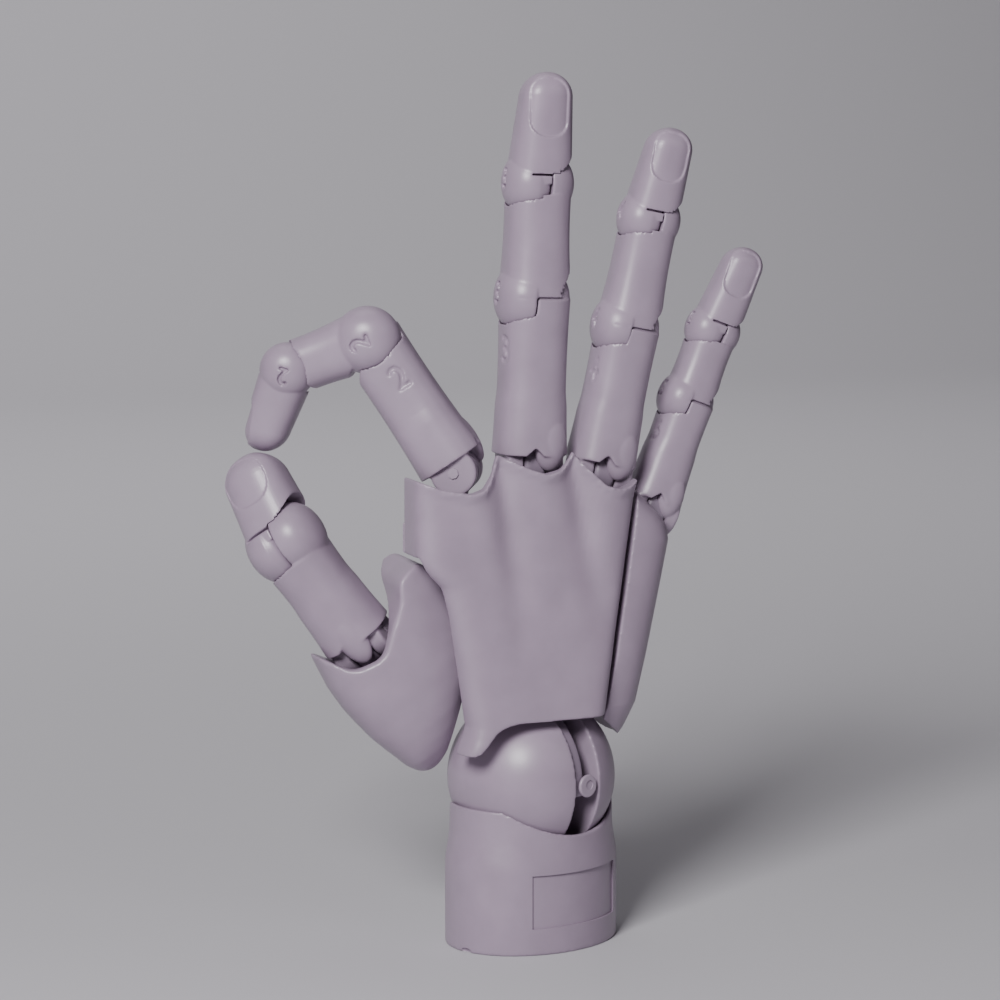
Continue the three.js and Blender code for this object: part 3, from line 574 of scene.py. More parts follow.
def barrel(bm, width, lap, gap=0.0, grow=0.0, side=-1):
    """Half a lap hinge: round about the hinge axis, domed outside, eased at the lap on the thumb's side."""
    radius = barrel_radius(width, lap)
    start = side * lap.place - gap
    reach = width / 2 + LUG_DOME
    root = width * BARREL_ROOT
    ease = width * BARREL_EASE
    sections = []
    for i in range(BARREL_STEPS + 1):
        out = start + (reach - start) * math.sin(i / BARREL_STEPS * math.pi / 2)
        half = radius
        if out > root:
            share = min(BARREL_END, (out - root) / (reach - root))
            half = radius * (1 - share ** BARREL_SQUARE) ** (1 / BARREL_SQUARE)
        elif side < 0 and out < start + ease:
            share = (start + ease - out) / ease
            half = radius - ease * BARREL_EASE_DEPTH * (1 - math.sqrt(1 - share ** 2))
        half *= 1 + grow / radius
        sections.append((out * (1 + grow / reach), half, half, 0, 0))
    loft(bm, sections, SIDES, ROUND)
    turn = Matrix.Rotation(side * math.pi / 2, 3, "Y")
    bmesh.ops.rotate(bm, verts=bm.verts, cent=(0, 0, 0), matrix=turn)


def barrel_seat(width, height, lap):
    """Room for a barrel in the bone below it."""
    made = scratch(barrel, width, lap, LAP_GAP, PLAY)
    made.data.transform(Matrix.Translation((0, 0, height)))
    return made


def cheek(width, height, lap):
    """The half of a lap hinge on the bone below: a barrel for the other side, set back by a relief."""
    made = scratch(barrel, width, lap, -LAP_GAP, -lap.relief, 1)
    made.data.transform(Matrix.Translation((0, 0, height)))
    return made


def cheek_seat(width, lap):
    """Room for a cheek in the bone above it: the cheek's round and what lies under the slit."""
    radius = barrel_radius(width, lap) - lap.relief + PLAY
    return [
        scratch(disc, radius, lap.place, FAR),
        scratch(block, (lap.place - LAP_OVERLAP, -FAR, -FAR), (FARTHER, FAR, lap.rise))]


def slit(width, lap):
    """The thin gap over a lap hinge on the back of the finger, which ends on the thumb's side."""
    depth = barrel_radius(width, lap) * SLIT_DEPTH
    return scratch(block, (lap.slit * width, -FAR, lap.rise - SLIT), (FAR, -depth, lap.rise))


def numeral(digit, height, matrix):
    """A solid numeral in bold strokes that stands on its frame's X and is read from -Y."""
    curve = bpy.data.curves.new("numeral", "FONT")
    curve.body = digit
    curve.size = height / NUMERAL_CAP
    curve.extrude = NUMERAL_REACH
    curve.align_x = "CENTER"
    curve.align_y = "CENTER"
    written = bpy.data.objects.new("numeral", curve)
    bpy.context.scene.collection.objects.link(written)
    bpy.context.view_layer.update()
    depsgraph = bpy.context.evaluated_depsgraph_get()
    mesh = bpy.data.meshes.new_from_object(written.evaluated_get(depsgraph))
    bpy.data.objects.remove(written)
    weight = NUMERAL_WEIGHT * height

    def shape(bm, across, up):
        bm.from_mesh(mesh)
        bmesh.ops.remove_doubles(bm, verts=bm.verts, dist=NUMERAL_WELD)
        aside = Matrix.Translation((across * weight, up * weight, 0))
        upright = Matrix.Rotation(math.pi / 2, 4, "X")
        bmesh.ops.transform(bm, verts=bm.verts, matrix=matrix @ upright @ aside)

    return skinned(merged(*(scratch(shape, *stroke) for stroke in NUMERAL_STROKES)), NUMERAL_GRAIN, 1)


def side_frame(angle, distance, height):
    """A frame on a finger's thumb side: turned from the back by an angle, at a distance from its axis."""
    turn = Matrix.Rotation(-angle, 4, "Z")
    return Matrix.Translation((0, 0, height)) @ turn @ Matrix.Translation((0, -distance, 0))


def fold_low(bm, angle):
    trim(bm, (0, 0, 0), (0, -math.sin(angle), math.cos(angle)))


def fold_high(bm, angle, height):
    trim(bm, (0, 0, height), (0, -math.sin(angle), -math.cos(angle)))


def collar_sections(width, high_width, start, end):
    """A first bone's shaft, drawn in by a small step at the sides above the sleeve at its lower end."""
    for height, half, depth, x, y in shaft_sections(width, high_width, start, end):
        share = min(1, max(0, (height - COLLAR_TOP) / COLLAR_BLEND))
        yield height, half - COLLAR_STEP * share, depth, x, y


def first_bone(width, high_width, length, lap, swelling, digit=None):
    """A collar over the knuckle with a notched edge, two lobes on the pin, and a lap hinge above."""
    half = width / 2
    slot_half = TONGUE_WIDTH / 2 + PLAY

    def body(bm):
        loft(bm, collar_sections(width, high_width, COLLAR_RISE, length - lap.drop))
        fold_high(bm, PIP_FOLD, length)

    def notch(bm):
        place = Matrix.Translation((NOTCH_PLACE * half, 0, COLLAR_RISE))
        low, high = (-NOTCH_HALF, -FAR, -NOTCH_HALF), (NOTCH_HALF, -half * NOTCH_END, NOTCH_HALF)
        block(bm, low, high, place @ Matrix.Rotation(math.pi / 4, 4, "Y"))

    def lobes(bm):
        for side in (-1, 1):
            disc(bm, LOBE_RADIUS, side * slot_half, side * min(LOBE_OUT, half - LOBE_INSET), edge=LOBE_EDGE)

    def bulb(bm):
        radii, place = swelling
        orb(bm, Vector(radii) * half, Vector(place) * half, BULB_SIDES)

    hollow = [
        scratch(disc, TONGUE_RADIUS + PLAY, -slot_half, slot_half),
        scratch(block, (-slot_half, -STEM_RADIUS - 2 * PLAY, -FAR), (slot_half, FAR, STEM_RADIUS + PLAY)),
        scratch(notch)]
    made = cut(scratch(body), barrel_seat(high_width, length, lap), *hollow)
    shells = [scratch(lobes), scratch(bulb), cheek(high_width, length, lap)]
    if digit:
        place = length - SHAFT_NUMERAL_DROP * high_width
        there = side_frame(SHAFT_NUMERAL_ANGLE, half, place)
        cut(made, numeral(digit, SHAFT_NUMERAL * high_width, there))
        floor = shaft_sections(width, high_width, COLLAR_RISE, length - lap.drop, NUMERAL_SINK, FLOOR_STEPS)
        shells.append(scratch(loft, [section for section in floor if abs(section[0] - place) < SHAFT_PLUG]))
    return skinned(merged(made, *shells), MEDIUM)


def lug(width, lap, digit=None):
    """A barrel with its slit, and a numeral sunk into its dome."""
    made = cut(scratch(barrel, width, lap), slit(width, lap))
    if not digit:
        return made
    there = side_frame(math.pi / 2, width / 2, LUG_NUMERAL_RISE)
    cut(made, numeral(digit, LUG_NUMERAL * width, there))
    return merged(made, cut(scratch(barrel, width, lap, grow=-NUMERAL_SINK), slit(width, lap)))


def middle_bone(width, high_width, length, digit):
    """A shaft with a barrel on its lower hinge and a cheek on its upper one."""
    def body(bm):
        loft(bm, shaft_sections(width, high_width, 0, length - DIP_LAP.drop))
        fold_high(bm, DIP_FOLD, length)
        fold_low(bm, PIP_FOLD)

    low = [*cheek_seat(width, PIP_LAP), slit(width, PIP_LAP)]
    made = cut(scratch(body), barrel_seat(high_width, length, DIP_LAP), *low)
    return skinned(merged(made, cheek(high_width, length, DIP_LAP), lug(width, PIP_LAP, digit)), MEDIUM)


def tip_sections(width, tip_width, length, sink=0.0):
    """A last bone, tapering to a round tip that sits towards the nail; sink moves it in from the back."""
    shoulder = length - tip_width / 2
    for i in range(STEPS + 1):
        height = length * math.sin(i / STEPS * math.pi / 2)
        share = min(1, height / shoulder)
        half = (width + (tip_width - width) * share) / 2
        if height > shoulder:
            half *= math.sqrt(max(TIP_END ** 2, 1 - ((height - shoulder) / (length - shoulder)) ** 2))
        rise = height / length
        yield height, half, half * DEPTH_RATIO, TIP_LEAN * rise, sink - TIP_SET * rise


def nail(bm, width, length):
    """A nail's outline as a thick block with a round root, on the back of the tip."""
    half = width * NAIL_HALF
    block(bm, (-half, -FAR, length * NAIL_ROOT), (half, 0, length - width * NAIL_END))
    rounded(bm, upright_edges(bm), half * NAIL_ROUND, NAIL_STEPS)


def last_bone(width, tip_width, length, fold, lap, digit=None):
    """A tip with a sunk nail, and a barrel on its hinge."""
    def body(bm):
        loft(bm, tip_sections(width, tip_width, length))
        fold_low(bm, fold)

    sink = sizes().nail_sink * MM_PER_M
    bed = cut(scratch(nail, tip_width, length), scratch(loft, tip_sections(width, tip_width, length, sink)))
    made = cut(scratch(body), *cheek_seat(width, lap), slit(width, lap), bed)
    return skinned(merged(made, lug(width, lap, digit)), FINE, CRISP)


def knuckle(stem_length):
    """A stem with a round tongue for the fork."""
    half = TONGUE_WIDTH / 2

    def shape(bm):
        disc(bm, TONGUE_RADIUS, -half, half, edge=TONGUE_EDGE)
        disc(bm, STEM_RADIUS, -stem_length, 0, axis="Z", edge=STEM_EDGE)

    return skinned(scratch(shape), MEDIUM, CRISP)


class HAND_OT_fingers(bpy.types.Operator):
    """Build the knuckles and the three bones of each finger"""
    bl_idname = "hand.fingers"
    bl_label = "Fingers"

    def execute(self, context):
        for finger in FINGERS:
            widths = millimetres(getattr(sizes(), finger + "_widths"))
            frames = bone_frames(finger, ("mcp", "pip", "dip"))
            across, along = -joint_axis(finger + "_mcp"), joint_axis(finger + "_turn")
            stem = to_row(joint_place(finger + "_mcp"), across, along)
            inner(knuckle(STEM_LENGTH), finger + "_knuckle", stem)
            digit = DIGITS[finger]
            matrix, length = frames[0]
            made = first_bone(widths[0], widths[1], length, PIP_LAP, FINGER_BULB, digit)
            outer(made, finger + "_proximal", matrix)
            matrix, length = frames[1]
            made = middle_bone(widths[1], widths[2], length, digit)
            outer(made, finger + "_middle", matrix)
            matrix, length = frames[2]
            made = last_bone(widths[2], widths[3], length, DIP_FOLD, DIP_LAP, digit)
            outer(made, finger + "_distal", matrix)
        return {"FINISHED"}


# Thumb


THUMB_STEM_LENGTH = 15.0
THUMB_LEAN = math.radians(-36)
# Sections of the ball of the thumb along its knuckle's stem: height, half width, half depth, and middle
THUMB_BELLY = [
    (-37.5, 2, 3, -5, 0), (-36, 4.8, 5, -4.2, 0), (-33, 7.6, 7.6, -3, 0), (-30, 9.9, 9.4, -1.4, 0),
    (-26, 13, 11, 0.6, 0), (-21.8, 16, 12, 2.6, 0), (-15.5, 18.6, 12.8, 4.4, 0), (-11, 19.8, 13, 5.2, 0),
    (-4, 20.7, 13.2, 6.3, 0), (4, 20.8, 13.2, 7.8, 0), (14, 20, 13, 9, 0)]
THUMB_RELAX = 30
THUMB_CORNER = 2.0
THUMB_OUTLINE = [
    (-62, 79.5), (-48.6, 73.5), (-41.2, 77), (-38.4, 86.1), (-36.4, 91.3), (-37, 96.6), (-31.3, 101.6),
    (-26.9, 98.4), (-23, 96.1), (-20.8, 89.2), (-19.2, 77.8), (-17.8, 71), (-19, 60), (-18, 40), (-62, 40)]
THUMB_BEND_DROP = 9.5
THUMB_TURN = math.radians(-30)
BALL_ROOM = 1.0


def thumb_root(width):
    """The ball of the thumb: a bellied shell with an open socket for the thumb's knuckle."""
    x = Vector((math.cos(THUMB_LEAN), 0, -math.sin(THUMB_LEAN)))
    aim = to_row(joint_place("thumb_mp"), x, joint_axis("thumb_turn"))
    aim_mm = Matrix.Scale(MM_PER_M, 4) @ aim
    belly = scratch(loft, THUMB_BELLY)
    belly.data.transform(aim_mm)
    made = boolean(belly, [scratch(prism, THUMB_OUTLINE, -FAR, FAR, THUMB_CORNER)], "INTERSECT")
    skinned(made, COARSE, THUMB_RELAX)
    room = width / 2 + LOBE_ROOM
    turn = Matrix.Rotation(THUMB_TURN, 4, "Z")
    bend = scratch(block, (-room, 0, -THUMB_BEND_DROP), (room, FAR, FAR), turn)
    bend.data.transform(aim_mm)
    cut(made, knuckle_room("thumb_mp", width), bend, wrist_room(BALL_ROOM))
    return skinned(made, MEDIUM, CRISP)


class HAND_OT_thumb(bpy.types.Operator):
    """Build the thumb's root shell, its knuckle and its two bones"""
    bl_idname = "hand.thumb"
    bl_label = "Thumb"

    def execute(self, context):
        low, high, tip = millimetres(sizes().thumb_widths)
        frames = bone_frames("thumb", ("mp", "ip"))
        stem = to_row(joint_place("thumb_mp"), -joint_axis("thumb_mp"), joint_axis("thumb_turn"))
        inner(knuckle(THUMB_STEM_LENGTH), "thumb_knuckle", stem)
        outer(first_bone(low, high, frames[0][1], THUMB_LAP, THUMB_BULB), "thumb_proximal", frames[0][0])
        outer(last_bone(high, tip, frames[1][1], PIP_FOLD, THUMB_LAP), "thumb_distal", frames[1][0])
        outer(thumb_root(low), "thumb_metacarpal", PALM_FRAME, "thumb_root")
        return {"FINISHED"}


# Palm: edges and depths by height, outlines of cuts in X and Z, and rooms as boxes


PALM_SIDE = -34.6
PALM_SIDE_DEPTH = 1.0
PALM_LEFT_EDGE = [
    (48, -25.4), (53, -24.6), (57, -23), (60, -22.2), (65.5, -23), (76, -24.6), (89, -26.8), (95.6, -28.6),
    (99.5, -32.4), (103, PALM_SIDE), (132, PALM_SIDE)]
PALM_RIGHT_EDGE = [(48, 13.2), (132, 27.6)]
PALM_DEPTHS = [(48, 20), (55, 20), (132, 12.7)]
PALM_WALL = 2.4
PALM_SQUARE = 7.0
PALM_SIDES = 160
PALM_LEVELS = 56
PALM_RELAX = 6
BACK_START = -1.0
SHELL_GAP = 0.3
PALM_RIM = [
    (-40, 125.4), (-35.3, 123.7), (-28.4, 121.1), (-20.7, 119.7), (-17.1, 120.9), (-14.9, 124.4),
    (-13.4, 129.6), (-9.6, 127.8), (-5, 125.6), (-0.4, 124.1), (3.8, 125.1), (6.0, 127.4), (7.2, 129.8),
    (9.3, 126.8), (13.4, 122.9), (15.9, 120.5), (20, 119.6), (23, 120.3), (30, 124)]
RIM_TOP = [(30, 160), (-40, 160)]
RIM_CORNER = 0.8
RIM_LIP = 1.2
RIM_LIP_WIDTH = 2.0
HEEL_OUTLINE = [
    (-60, 30), (-60, 52.6), (-21, 52.6), (-18.6, 54.6), (-15.4, 58.8), (-12.4, 60.2), (-8.6, 60.8),
    (40, 61.4), (40, 30)]
HEEL_CORNER = 1.2
SKIRT_TOP = 64.0
PALMAR_BOTTOM = 51.5
THUMB_SWING_ROOM = ((-FAR, 0, 0), (-12.0, FAR, 103.5))
MERGE = 1e-6
THUMB_BAY = ((-FAR, -11.5, 0), (-14.5, FAR, 103.5))
CREASE_HEIGHT = 111.5
TENDON_HEIGHT = 1.0
TENDON_WIDTH = 4.6
TENDON_END = 78.0
TENDON_GATHER = 0.45
TENDON_FADE = 1.5
VALLEYS = (((-12.4, 126.0), (-6.6, 74.0)), ((7.2, 126.0), (15.0, 76.0)))
VALLEY_DEPTH = 1.7
VALLEY_WIDTH = 2.9
VALLEY_SPREAD = 1.8
PALM_FINGERS = ("index", "middle", "ring")


def between(stations, at):
    """Value at a place on a list of (place, value) stations."""
    for (low, first), (high, second) in zip(stations, stations[1:]):
        if at <= high:
            t = min(1, max(0, (at - low) / (high - low)))
            return first + (second - first) * t
    return stations[-1][1]


def palm_form(bm, inset=0.0):
    """The whole palm, front and back, drawn in by an inset."""
    low, high = PALM_DEPTHS[0][0], PALM_DEPTHS[-1][0]
    sections = []
    for i in range(PALM_LEVELS + 1):
        z = low + (high - low) * i / PALM_LEVELS
        left, right = between(PALM_LEFT_EDGE, z) + inset, between(PALM_RIGHT_EDGE, z) - inset
        sections.append((z, (right - left) / 2, between(PALM_DEPTHS, z) - inset, (left + right) / 2, 0))
    loft(bm, sections, PALM_SIDES, PALM_SQUARE)
    trim(bm, (PALM_SIDE + inset * math.sqrt(2), PALM_SIDE_DEPTH, 0), (1, -1, 0))


def tendons(bm):
    """Raise soft ridges on the back of the hand below the knuckles, and sink valleys between them."""
    back = [vert for vert in bm.verts if vert.co.y < BACK_START]
    for finger in PALM_FINGERS:
        x, _, z = joint_place(finger + "_mcp") * MM_PER_M
        for vert in back:
            t = min(1, max(0, (vert.co.z - TENDON_END) / (z - TENDON_END)))
            line = x * (TENDON_GATHER + (1 - TENDON_GATHER) * t)
            aside = (vert.co.x - line) / TENDON_WIDTH
            vert.co.y -= TENDON_HEIGHT * t ** TENDON_FADE * math.exp(-aside ** 2)
    for (x0, z0), (x1, z1) in VALLEYS:
        for vert in back:
            t = min(1, max(0, (vert.co.z - z1) / (z0 - z1)))
            line = x1 + (x0 - x1) * t
            aside = (vert.co.x - line) / (VALLEY_WIDTH * (VALLEY_SPREAD + (1 - VALLEY_SPREAD) * t))
            vert.co.y += VALLEY_DEPTH * t * (2 - t) * math.exp(-aside ** 2)


def rim_lip(bm):
    """Flare the back of the palm a little along its rim under the fingers."""
    for vert in bm.verts:
        if vert.co.y < BACK_START:
            below = between(PALM_RIM, vert.co.x) - vert.co.z
            vert.co.y -= RIM_LIP * math.exp(-(below / RIM_LIP_WIDTH) ** 2)


def knuckle_rooms(fingers):
    widths = [getattr(sizes(), finger + "_widths")[0] * MM_PER_M for finger in fingers]
    return [knuckle_room(finger + "_mcp", width) for finger, width in zip(fingers, widths)]


def palm_core():
    """The block inside the palm, without the skirt round the wrist ball, which the covers leave bare."""
    def shape(bm):
        bm.from_mesh(frame["nodes"]["palm_frame"].data)
        bmesh.ops.remove_doubles(bm, verts=bm.verts, dist=MERGE)
        bmesh.ops.transform(bm, verts=bm.verts, matrix=PALM_FRAME.inverted())

    return cut(scratch(shape), scratch(block, (-FAR, -FAR, 0), (FAR, FAR, SKIRT_TOP)))


def palm_cover(side):
    """Half of the palm's shell: -1 is the back of the hand, 1 the palm."""
    def skin(bm):
        palm_form(bm)
        if side < 0:
            tendons(bm)
            rim_lip(bm)
        trim(bm, (0, side * SHELL_GAP / 2, 0), (0, side, 0))

    def hollow(bm):
        palm_form(bm, PALM_WALL)

    cuts = [
        scratch(hollow), scratch(block, *THUMB_BAY), *knuckle_rooms(PALM_FINGERS), wrist_room(BALL_ROOM)]
    if side < 0:
        cuts.append(scratch(prism, PALM_RIM + RIM_TOP, -FAR, FAR, RIM_CORNER))
        cuts.append(scratch(prism, HEEL_OUTLINE, -FAR, FAR, HEEL_CORNER))
    else:
        cuts.append(scratch(block, (-FAR, -FAR, CREASE_HEIGHT), (FAR, FAR, 2 * FAR)))
        cuts.append(scratch(block, (-FAR, -FAR, 0), (FAR, FAR, PALMAR_BOTTOM)))
        cuts.append(scratch(block, *THUMB_SWING_ROOM))
    return skinned(cut(scratch(skin), *cuts), COARSE, PALM_RELAX)


# The plate beside the palm: its inner and outer edge and its depth by height
PLATE_INNER = [(50, 13.8), (119, 25.6)]
PLATE_OUTER = [
    (51.5, 21.5), (56, 24.6), (62.5, 27.5), (80, 31.4), (105.5, 37), (110, 35.6), (118, 27.6)]
PLATE_DEPTHS = [(51.5, 9), (62, 13), (75, 14), (95, 13), (118, 11)]
PLATE_LEVELS = 30
PLATE_SQUARE = 2.9
PLATE_GAP = 0.6
PLATE_LEFT_REACH = 6.0
PLATE_ROOM = 3.0
CUP_ROOM = math.radians(20)
PLATE_CREASE_DROP = 9.0


def little_plate():
    """The long plate beside the palm that carries the little finger."""
    low, high = PLATE_OUTER[0][0], PLATE_OUTER[-1][0]
    sections = []
    for i in range(PLATE_LEVELS + 1):
        z = low + (high - low) * i / PLATE_LEVELS
        left, right = between(PLATE_INNER, z) + PLATE_GAP, between(PLATE_OUTER, z)
        middle = left - PLATE_LEFT_REACH
        sections.append((z, right - middle, between(PLATE_DEPTHS, z), middle, 0))

    def shape(bm):
        loft(bm, sections, 2 * SIDES, PLATE_SQUARE)
        (z0, x0), (z1, x1) = PLATE_INNER
        inward = Vector((z1 - z0, 0, x0 - x1)).normalized()
        edge = (x0 + PLATE_GAP, 0, z0)
        trim(bm, edge, inward)
        trim(bm, edge, inward * math.cos(CUP_ROOM) - Vector((0, math.sin(CUP_ROOM), 0)))

    _, y, z = joint_place("little_mcp") * MM_PER_M
    crease = scratch(block, (-FAR, y, z - PLATE_CREASE_DROP), (FAR, FAR, 2 * FAR))
    rooms = knuckle_rooms(("little",)) + [crease] + knuckle_rooms(PALM_FINGERS)
    return skinned(cut(scratch(shape), wrist_room(PLATE_ROOM), *rooms), MEDIUM, PALM_RELAX)


class HAND_OT_palm(bpy.types.Operator):
    """Build the palm's inner block, its two covers and the plate on the little finger's side"""
    bl_idname = "hand.palm"
    bl_label = "Palm"

    def execute(self, context):
        inner(palm_core(), "palm_frame", PALM_FRAME, "palm")
        outer(palm_cover(-1), "palm_dorsal_shell", PALM_FRAME, "palm")
        outer(palm_cover(1), "palm_palmar_shell", PALM_FRAME, "palm")
        outer(little_plate(), "little_metacarpal_plate", PALM_FRAME, "little_side")
        return {"FINISHED"}


# Wrist and forearm stub, about the slot's axis X; the neck is how far the sides draw in by height


SLOT_HALF = 4.0
BALL_SIDES = 128
BALL_RELAX = 4
CORE_RADIUS = 20.6
CORE_EDGE = 0.4
CORE_HUB_RADIUS = 12.0
CORE_HALF = 3.7
CORE_FACE = -0.6
CORE_WEDGE = [(0, 0), (-156, -22), (156, -22)]
BEND_PIN_ROOM = 3.3
STUD_RADIUS = 3.4
STUD_TOP = 40.0
STUD_HEAD_RADIUS = 5.4
STUD_HEAD_THICKNESS = 3.0
BUTTON_RADIUS = 3.0
BUTTON_PROUD = 1.0
BUTTON_EDGE = 0.4
BUTTON_RELAX = 2
MARK_SHARE = 0.42
MARK_SINK = 0.3
MARK_PLACE = Vector((0.3, 0, 0.3))
STUB_HALF_WIDTH = 24.6
STUB_HALF_DEPTH = 20.0
STUB_HEIGHT = 37.5
STUB_WALL = 2.6
NECK = [(0, 0), (21, 0), (23, 0.15), (26, 0.9), (29, 1.5), (31, 1.7), (37.5, 1.8)]
NECK_FRONT = 0.3
STUB_LEVELS = 30
STUB_PAST = 1.0
STUB_RELAX = 10
SCOOP_RADIUS = 30.0
SCOOP_DEPTH = 7.0
BALL_PLAY = 0.3
PANEL_HALF_WIDTH = 14.5
PANEL_SPAN = (7.0, 21.0)
PANEL_SINK = 0.6
GATE_PLACE = (-24.6, -1.6, 0.3)
GATE_RADII = (1.2, 1.8, 1.0)
GATE_SIDES = 24


def ball_half(bm, side, centre):
    """Half of the wrist ball, up to its slot."""
    radius = sizes().ball_radius * MM_PER_M
    bmesh.ops.create_uvsphere(
        bm, u_segments=BALL_SIDES, v_segments=BALL_SIDES // 2, radius=radius,
        matrix=Matrix.Translation(centre) @ Matrix.Rotation(math.pi / 2, 4, "Y"))
    trim(bm, (side * SLOT_HALF, 0, 0), (side, 0, 0))


def stub_form(bm, inset, start, end):
    """The casing's outside between two heights, drawn in by an inset."""
    sections = []
    for i in range(STUB_LEVELS + 1):
        z = start + (end - start) * i / STUB_LEVELS
        neck = between(NECK, z) + inset
        front = STUB_HALF_DEPTH - inset - (neck - inset) * NECK_FRONT
        sections.append((z, STUB_HALF_WIDTH - neck, front, 0, 0))
    loft(bm, sections, BALL_SIDES, ROUND)


def stub_shell():
    """The oval casing, scooped front and back for the ball, with a bare sunk panel."""
    panel = cut(
        scratch(block, (-PANEL_HALF_WIDTH, -FAR, PANEL_SPAN[0]), (PANEL_HALF_WIDTH, 0, PANEL_SPAN[1])),
        scratch(stub_form, PANEL_SINK, 0, STUB_HEIGHT))
    scoop = STUB_HEIGHT - SCOOP_DEPTH + SCOOP_RADIUS
    made = cut(
        scratch(stub_form, 0, 0, STUB_HEIGHT),
        scratch(stub_form, STUB_WALL, -STUB_PAST, STUB_HEIGHT + STUB_PAST),
        scratch(disc, SCOOP_RADIUS, -FAR, FAR, (0, 0, scoop), sides=BALL_SIDES, axis="Y"),
        wrist_room(BALL_PLAY, BALL_SIDES))
    return cut(skinned(made, COARSE, STUB_RELAX), panel, scratch(orb, GATE_RADII, GATE_PLACE, GATE_SIDES))


def button(centre):
    """The pin's head in the slot, with the round gate mark on its face."""
    root = -CORE_RADIUS - PLAY
    face = root - BUTTON_PROUD
    head = scratch(disc, BUTTON_RADIUS, face, root, centre, edge=BUTTON_EDGE, axis="Y")
    mark = scratch(
        disc, BUTTON_RADIUS * MARK_SHARE, face - BUTTON_PROUD, face + MARK_SINK, centre + MARK_PLACE,
        axis="Y")
    return cut(skinned(head, FINE, BUTTON_RELAX), mark)


def wrist_core(centre):
    """The disc that swings at the thumb's side of the slot, with its hub and the palm's stud."""
    def wedge(bm):
        prism(bm, CORE_WEDGE, -FAR, FAR)
        turn = Matrix.Rotation(math.pi / 2, 3, "Z")
        bmesh.ops.rotate(bm, verts=bm.verts, cent=(0, 0, 0), matrix=turn)
        bmesh.ops.translate(bm, verts=bm.verts, vec=centre)

    rim = scratch(disc, CORE_RADIUS, -CORE_HALF, CORE_FACE, centre, edge=CORE_EDGE, sides=BALL_SIDES)
    cut(rim, scratch(wedge))
    hub = scratch(disc, CORE_HUB_RADIUS, -CORE_HALF, CORE_HALF, centre)
    cut(hub, scratch(disc, BEND_PIN_ROOM, -FAR, FAR, centre))
    stud = scratch(disc, STUD_RADIUS, CORE_HUB_RADIUS / 2, STUD_TOP, centre, axis="Z")
    head = scratch(disc, STUD_HEAD_RADIUS, STUD_TOP - STUD_HEAD_THICKNESS, STUD_TOP, centre, axis="Z")
    return skinned(merged(rim, hub, stud, head), MEDIUM, CRISP)


class HAND_OT_wrist(bpy.types.Operator):
    """Build the wrist ball's halves, the core and the button in its slot, and the forearm stub"""
    bl_idname = "hand.wrist"
    bl_label = "Wrist and stub"

    def execute(self, context):
        matrix = stub_frame()
        centre = wrist_centre()
        for side, name in ((-1, "wrist_ball_radial_half"), (1, "wrist_ball_ulnar_half")):
            outer(skinned(scratch(ball_half, side, centre), COARSE, BALL_RELAX), name, matrix, "wrist_ball")
        finished(
            button(centre), "wrist_button_pin_moulding", "wrist_core", ["wrist_button_pin"],
            pin_plastic(), matrix)
        inner(wrist_core(centre), "wrist_core", matrix)
        outer(stub_shell(), "forearm_shell", matrix, "forearm")
        return {"FINISHED"}


# Stage


FLOOR_HALF = 1.5
SWEEP_HEIGHT = 2.0
SWEEP_RADIUS = 0.9
SWEEP_STEPS = 24
PAPER_ROUGHNESS = 0.85
WALL_AIM = Vector((0, 2.4, 0.9))
AIM = Vector((0, 0, 0.110))
# Name, place, size, watts and aim of each light
SOFTBOXES = (
    ("left_softbox", (-0.6, -0.75, 0.7), 0.38, 15.5, AIM),
    ("right_softbox", (0.45, -0.85, 0.75), 0.35, 0.5, AIM),
    ("top_softbox", (0.0, 0.3, 1.1), 0.7, 1.4, AIM),
    ("backdrop_light", (0.0, 0.7, 1.6), 1.2, 26, WALL_AIM))
WORLD_COLOUR = srgb("#B9B7BE")
WORLD_STRENGTH = 0.06
AIM_PIXEL = (531.0, 522.5)
FRAME_PIXELS = 1000.0
DISTANCE = 0.9
SEEN_WIDTH = 0.26
AZIMUTH = math.radians(-19)
ELEVATION = math.radians(7.5)
SENSOR = 36.0


def backdrop(bm):
    """A sheet that runs back over the floor, curves up behind and goes on upwards."""
    bmesh.ops.create_grid(bm, x_segments=1, y_segments=1, size=FLOOR_HALF)
    far = [edge for edge in bm.edges if all(vert.co.y > FLOOR_HALF / 2 for vert in edge.verts)]
    swept = bmesh.ops.spin(
        bm, geom=far, cent=(0, FLOOR_HALF, SWEEP_RADIUS), axis=(1, 0, 0), dvec=(0, 0, 0),
        angle=math.pi / 2, steps=SWEEP_STEPS, use_merge=False, use_duplicate=False)
    top = [item for item in swept["geom_last"] if isinstance(item, bmesh.types.BMEdge)]
    wall = bmesh.ops.extrude_edge_only(bm, edges=top)
    raised = [item for item in wall["geom"] if isinstance(item, bmesh.types.BMVert)]
    bmesh.ops.translate(bm, vec=(0, 0, SWEEP_HEIGHT), verts=raised)
    bmesh.ops.recalc_face_normals(bm, faces=bm.faces)
    for face in bm.faces:
        face.smooth = True


def softbox(name, place, size, watts, aim):
    """A square area light that looks at a point."""
    light = bpy.data.lights.new(name, "AREA")
    light.shape = "SQUARE"
    light.size = size
    light.energy = watts
    lamp = bpy.data.objects.new(name, light)
    lamp.location = place
    lamp.rotation_euler = (aim - Vector(place)).to_track_quat("-Z", "Y").to_euler()
    bpy.context.scene.collection.objects.link(lamp)


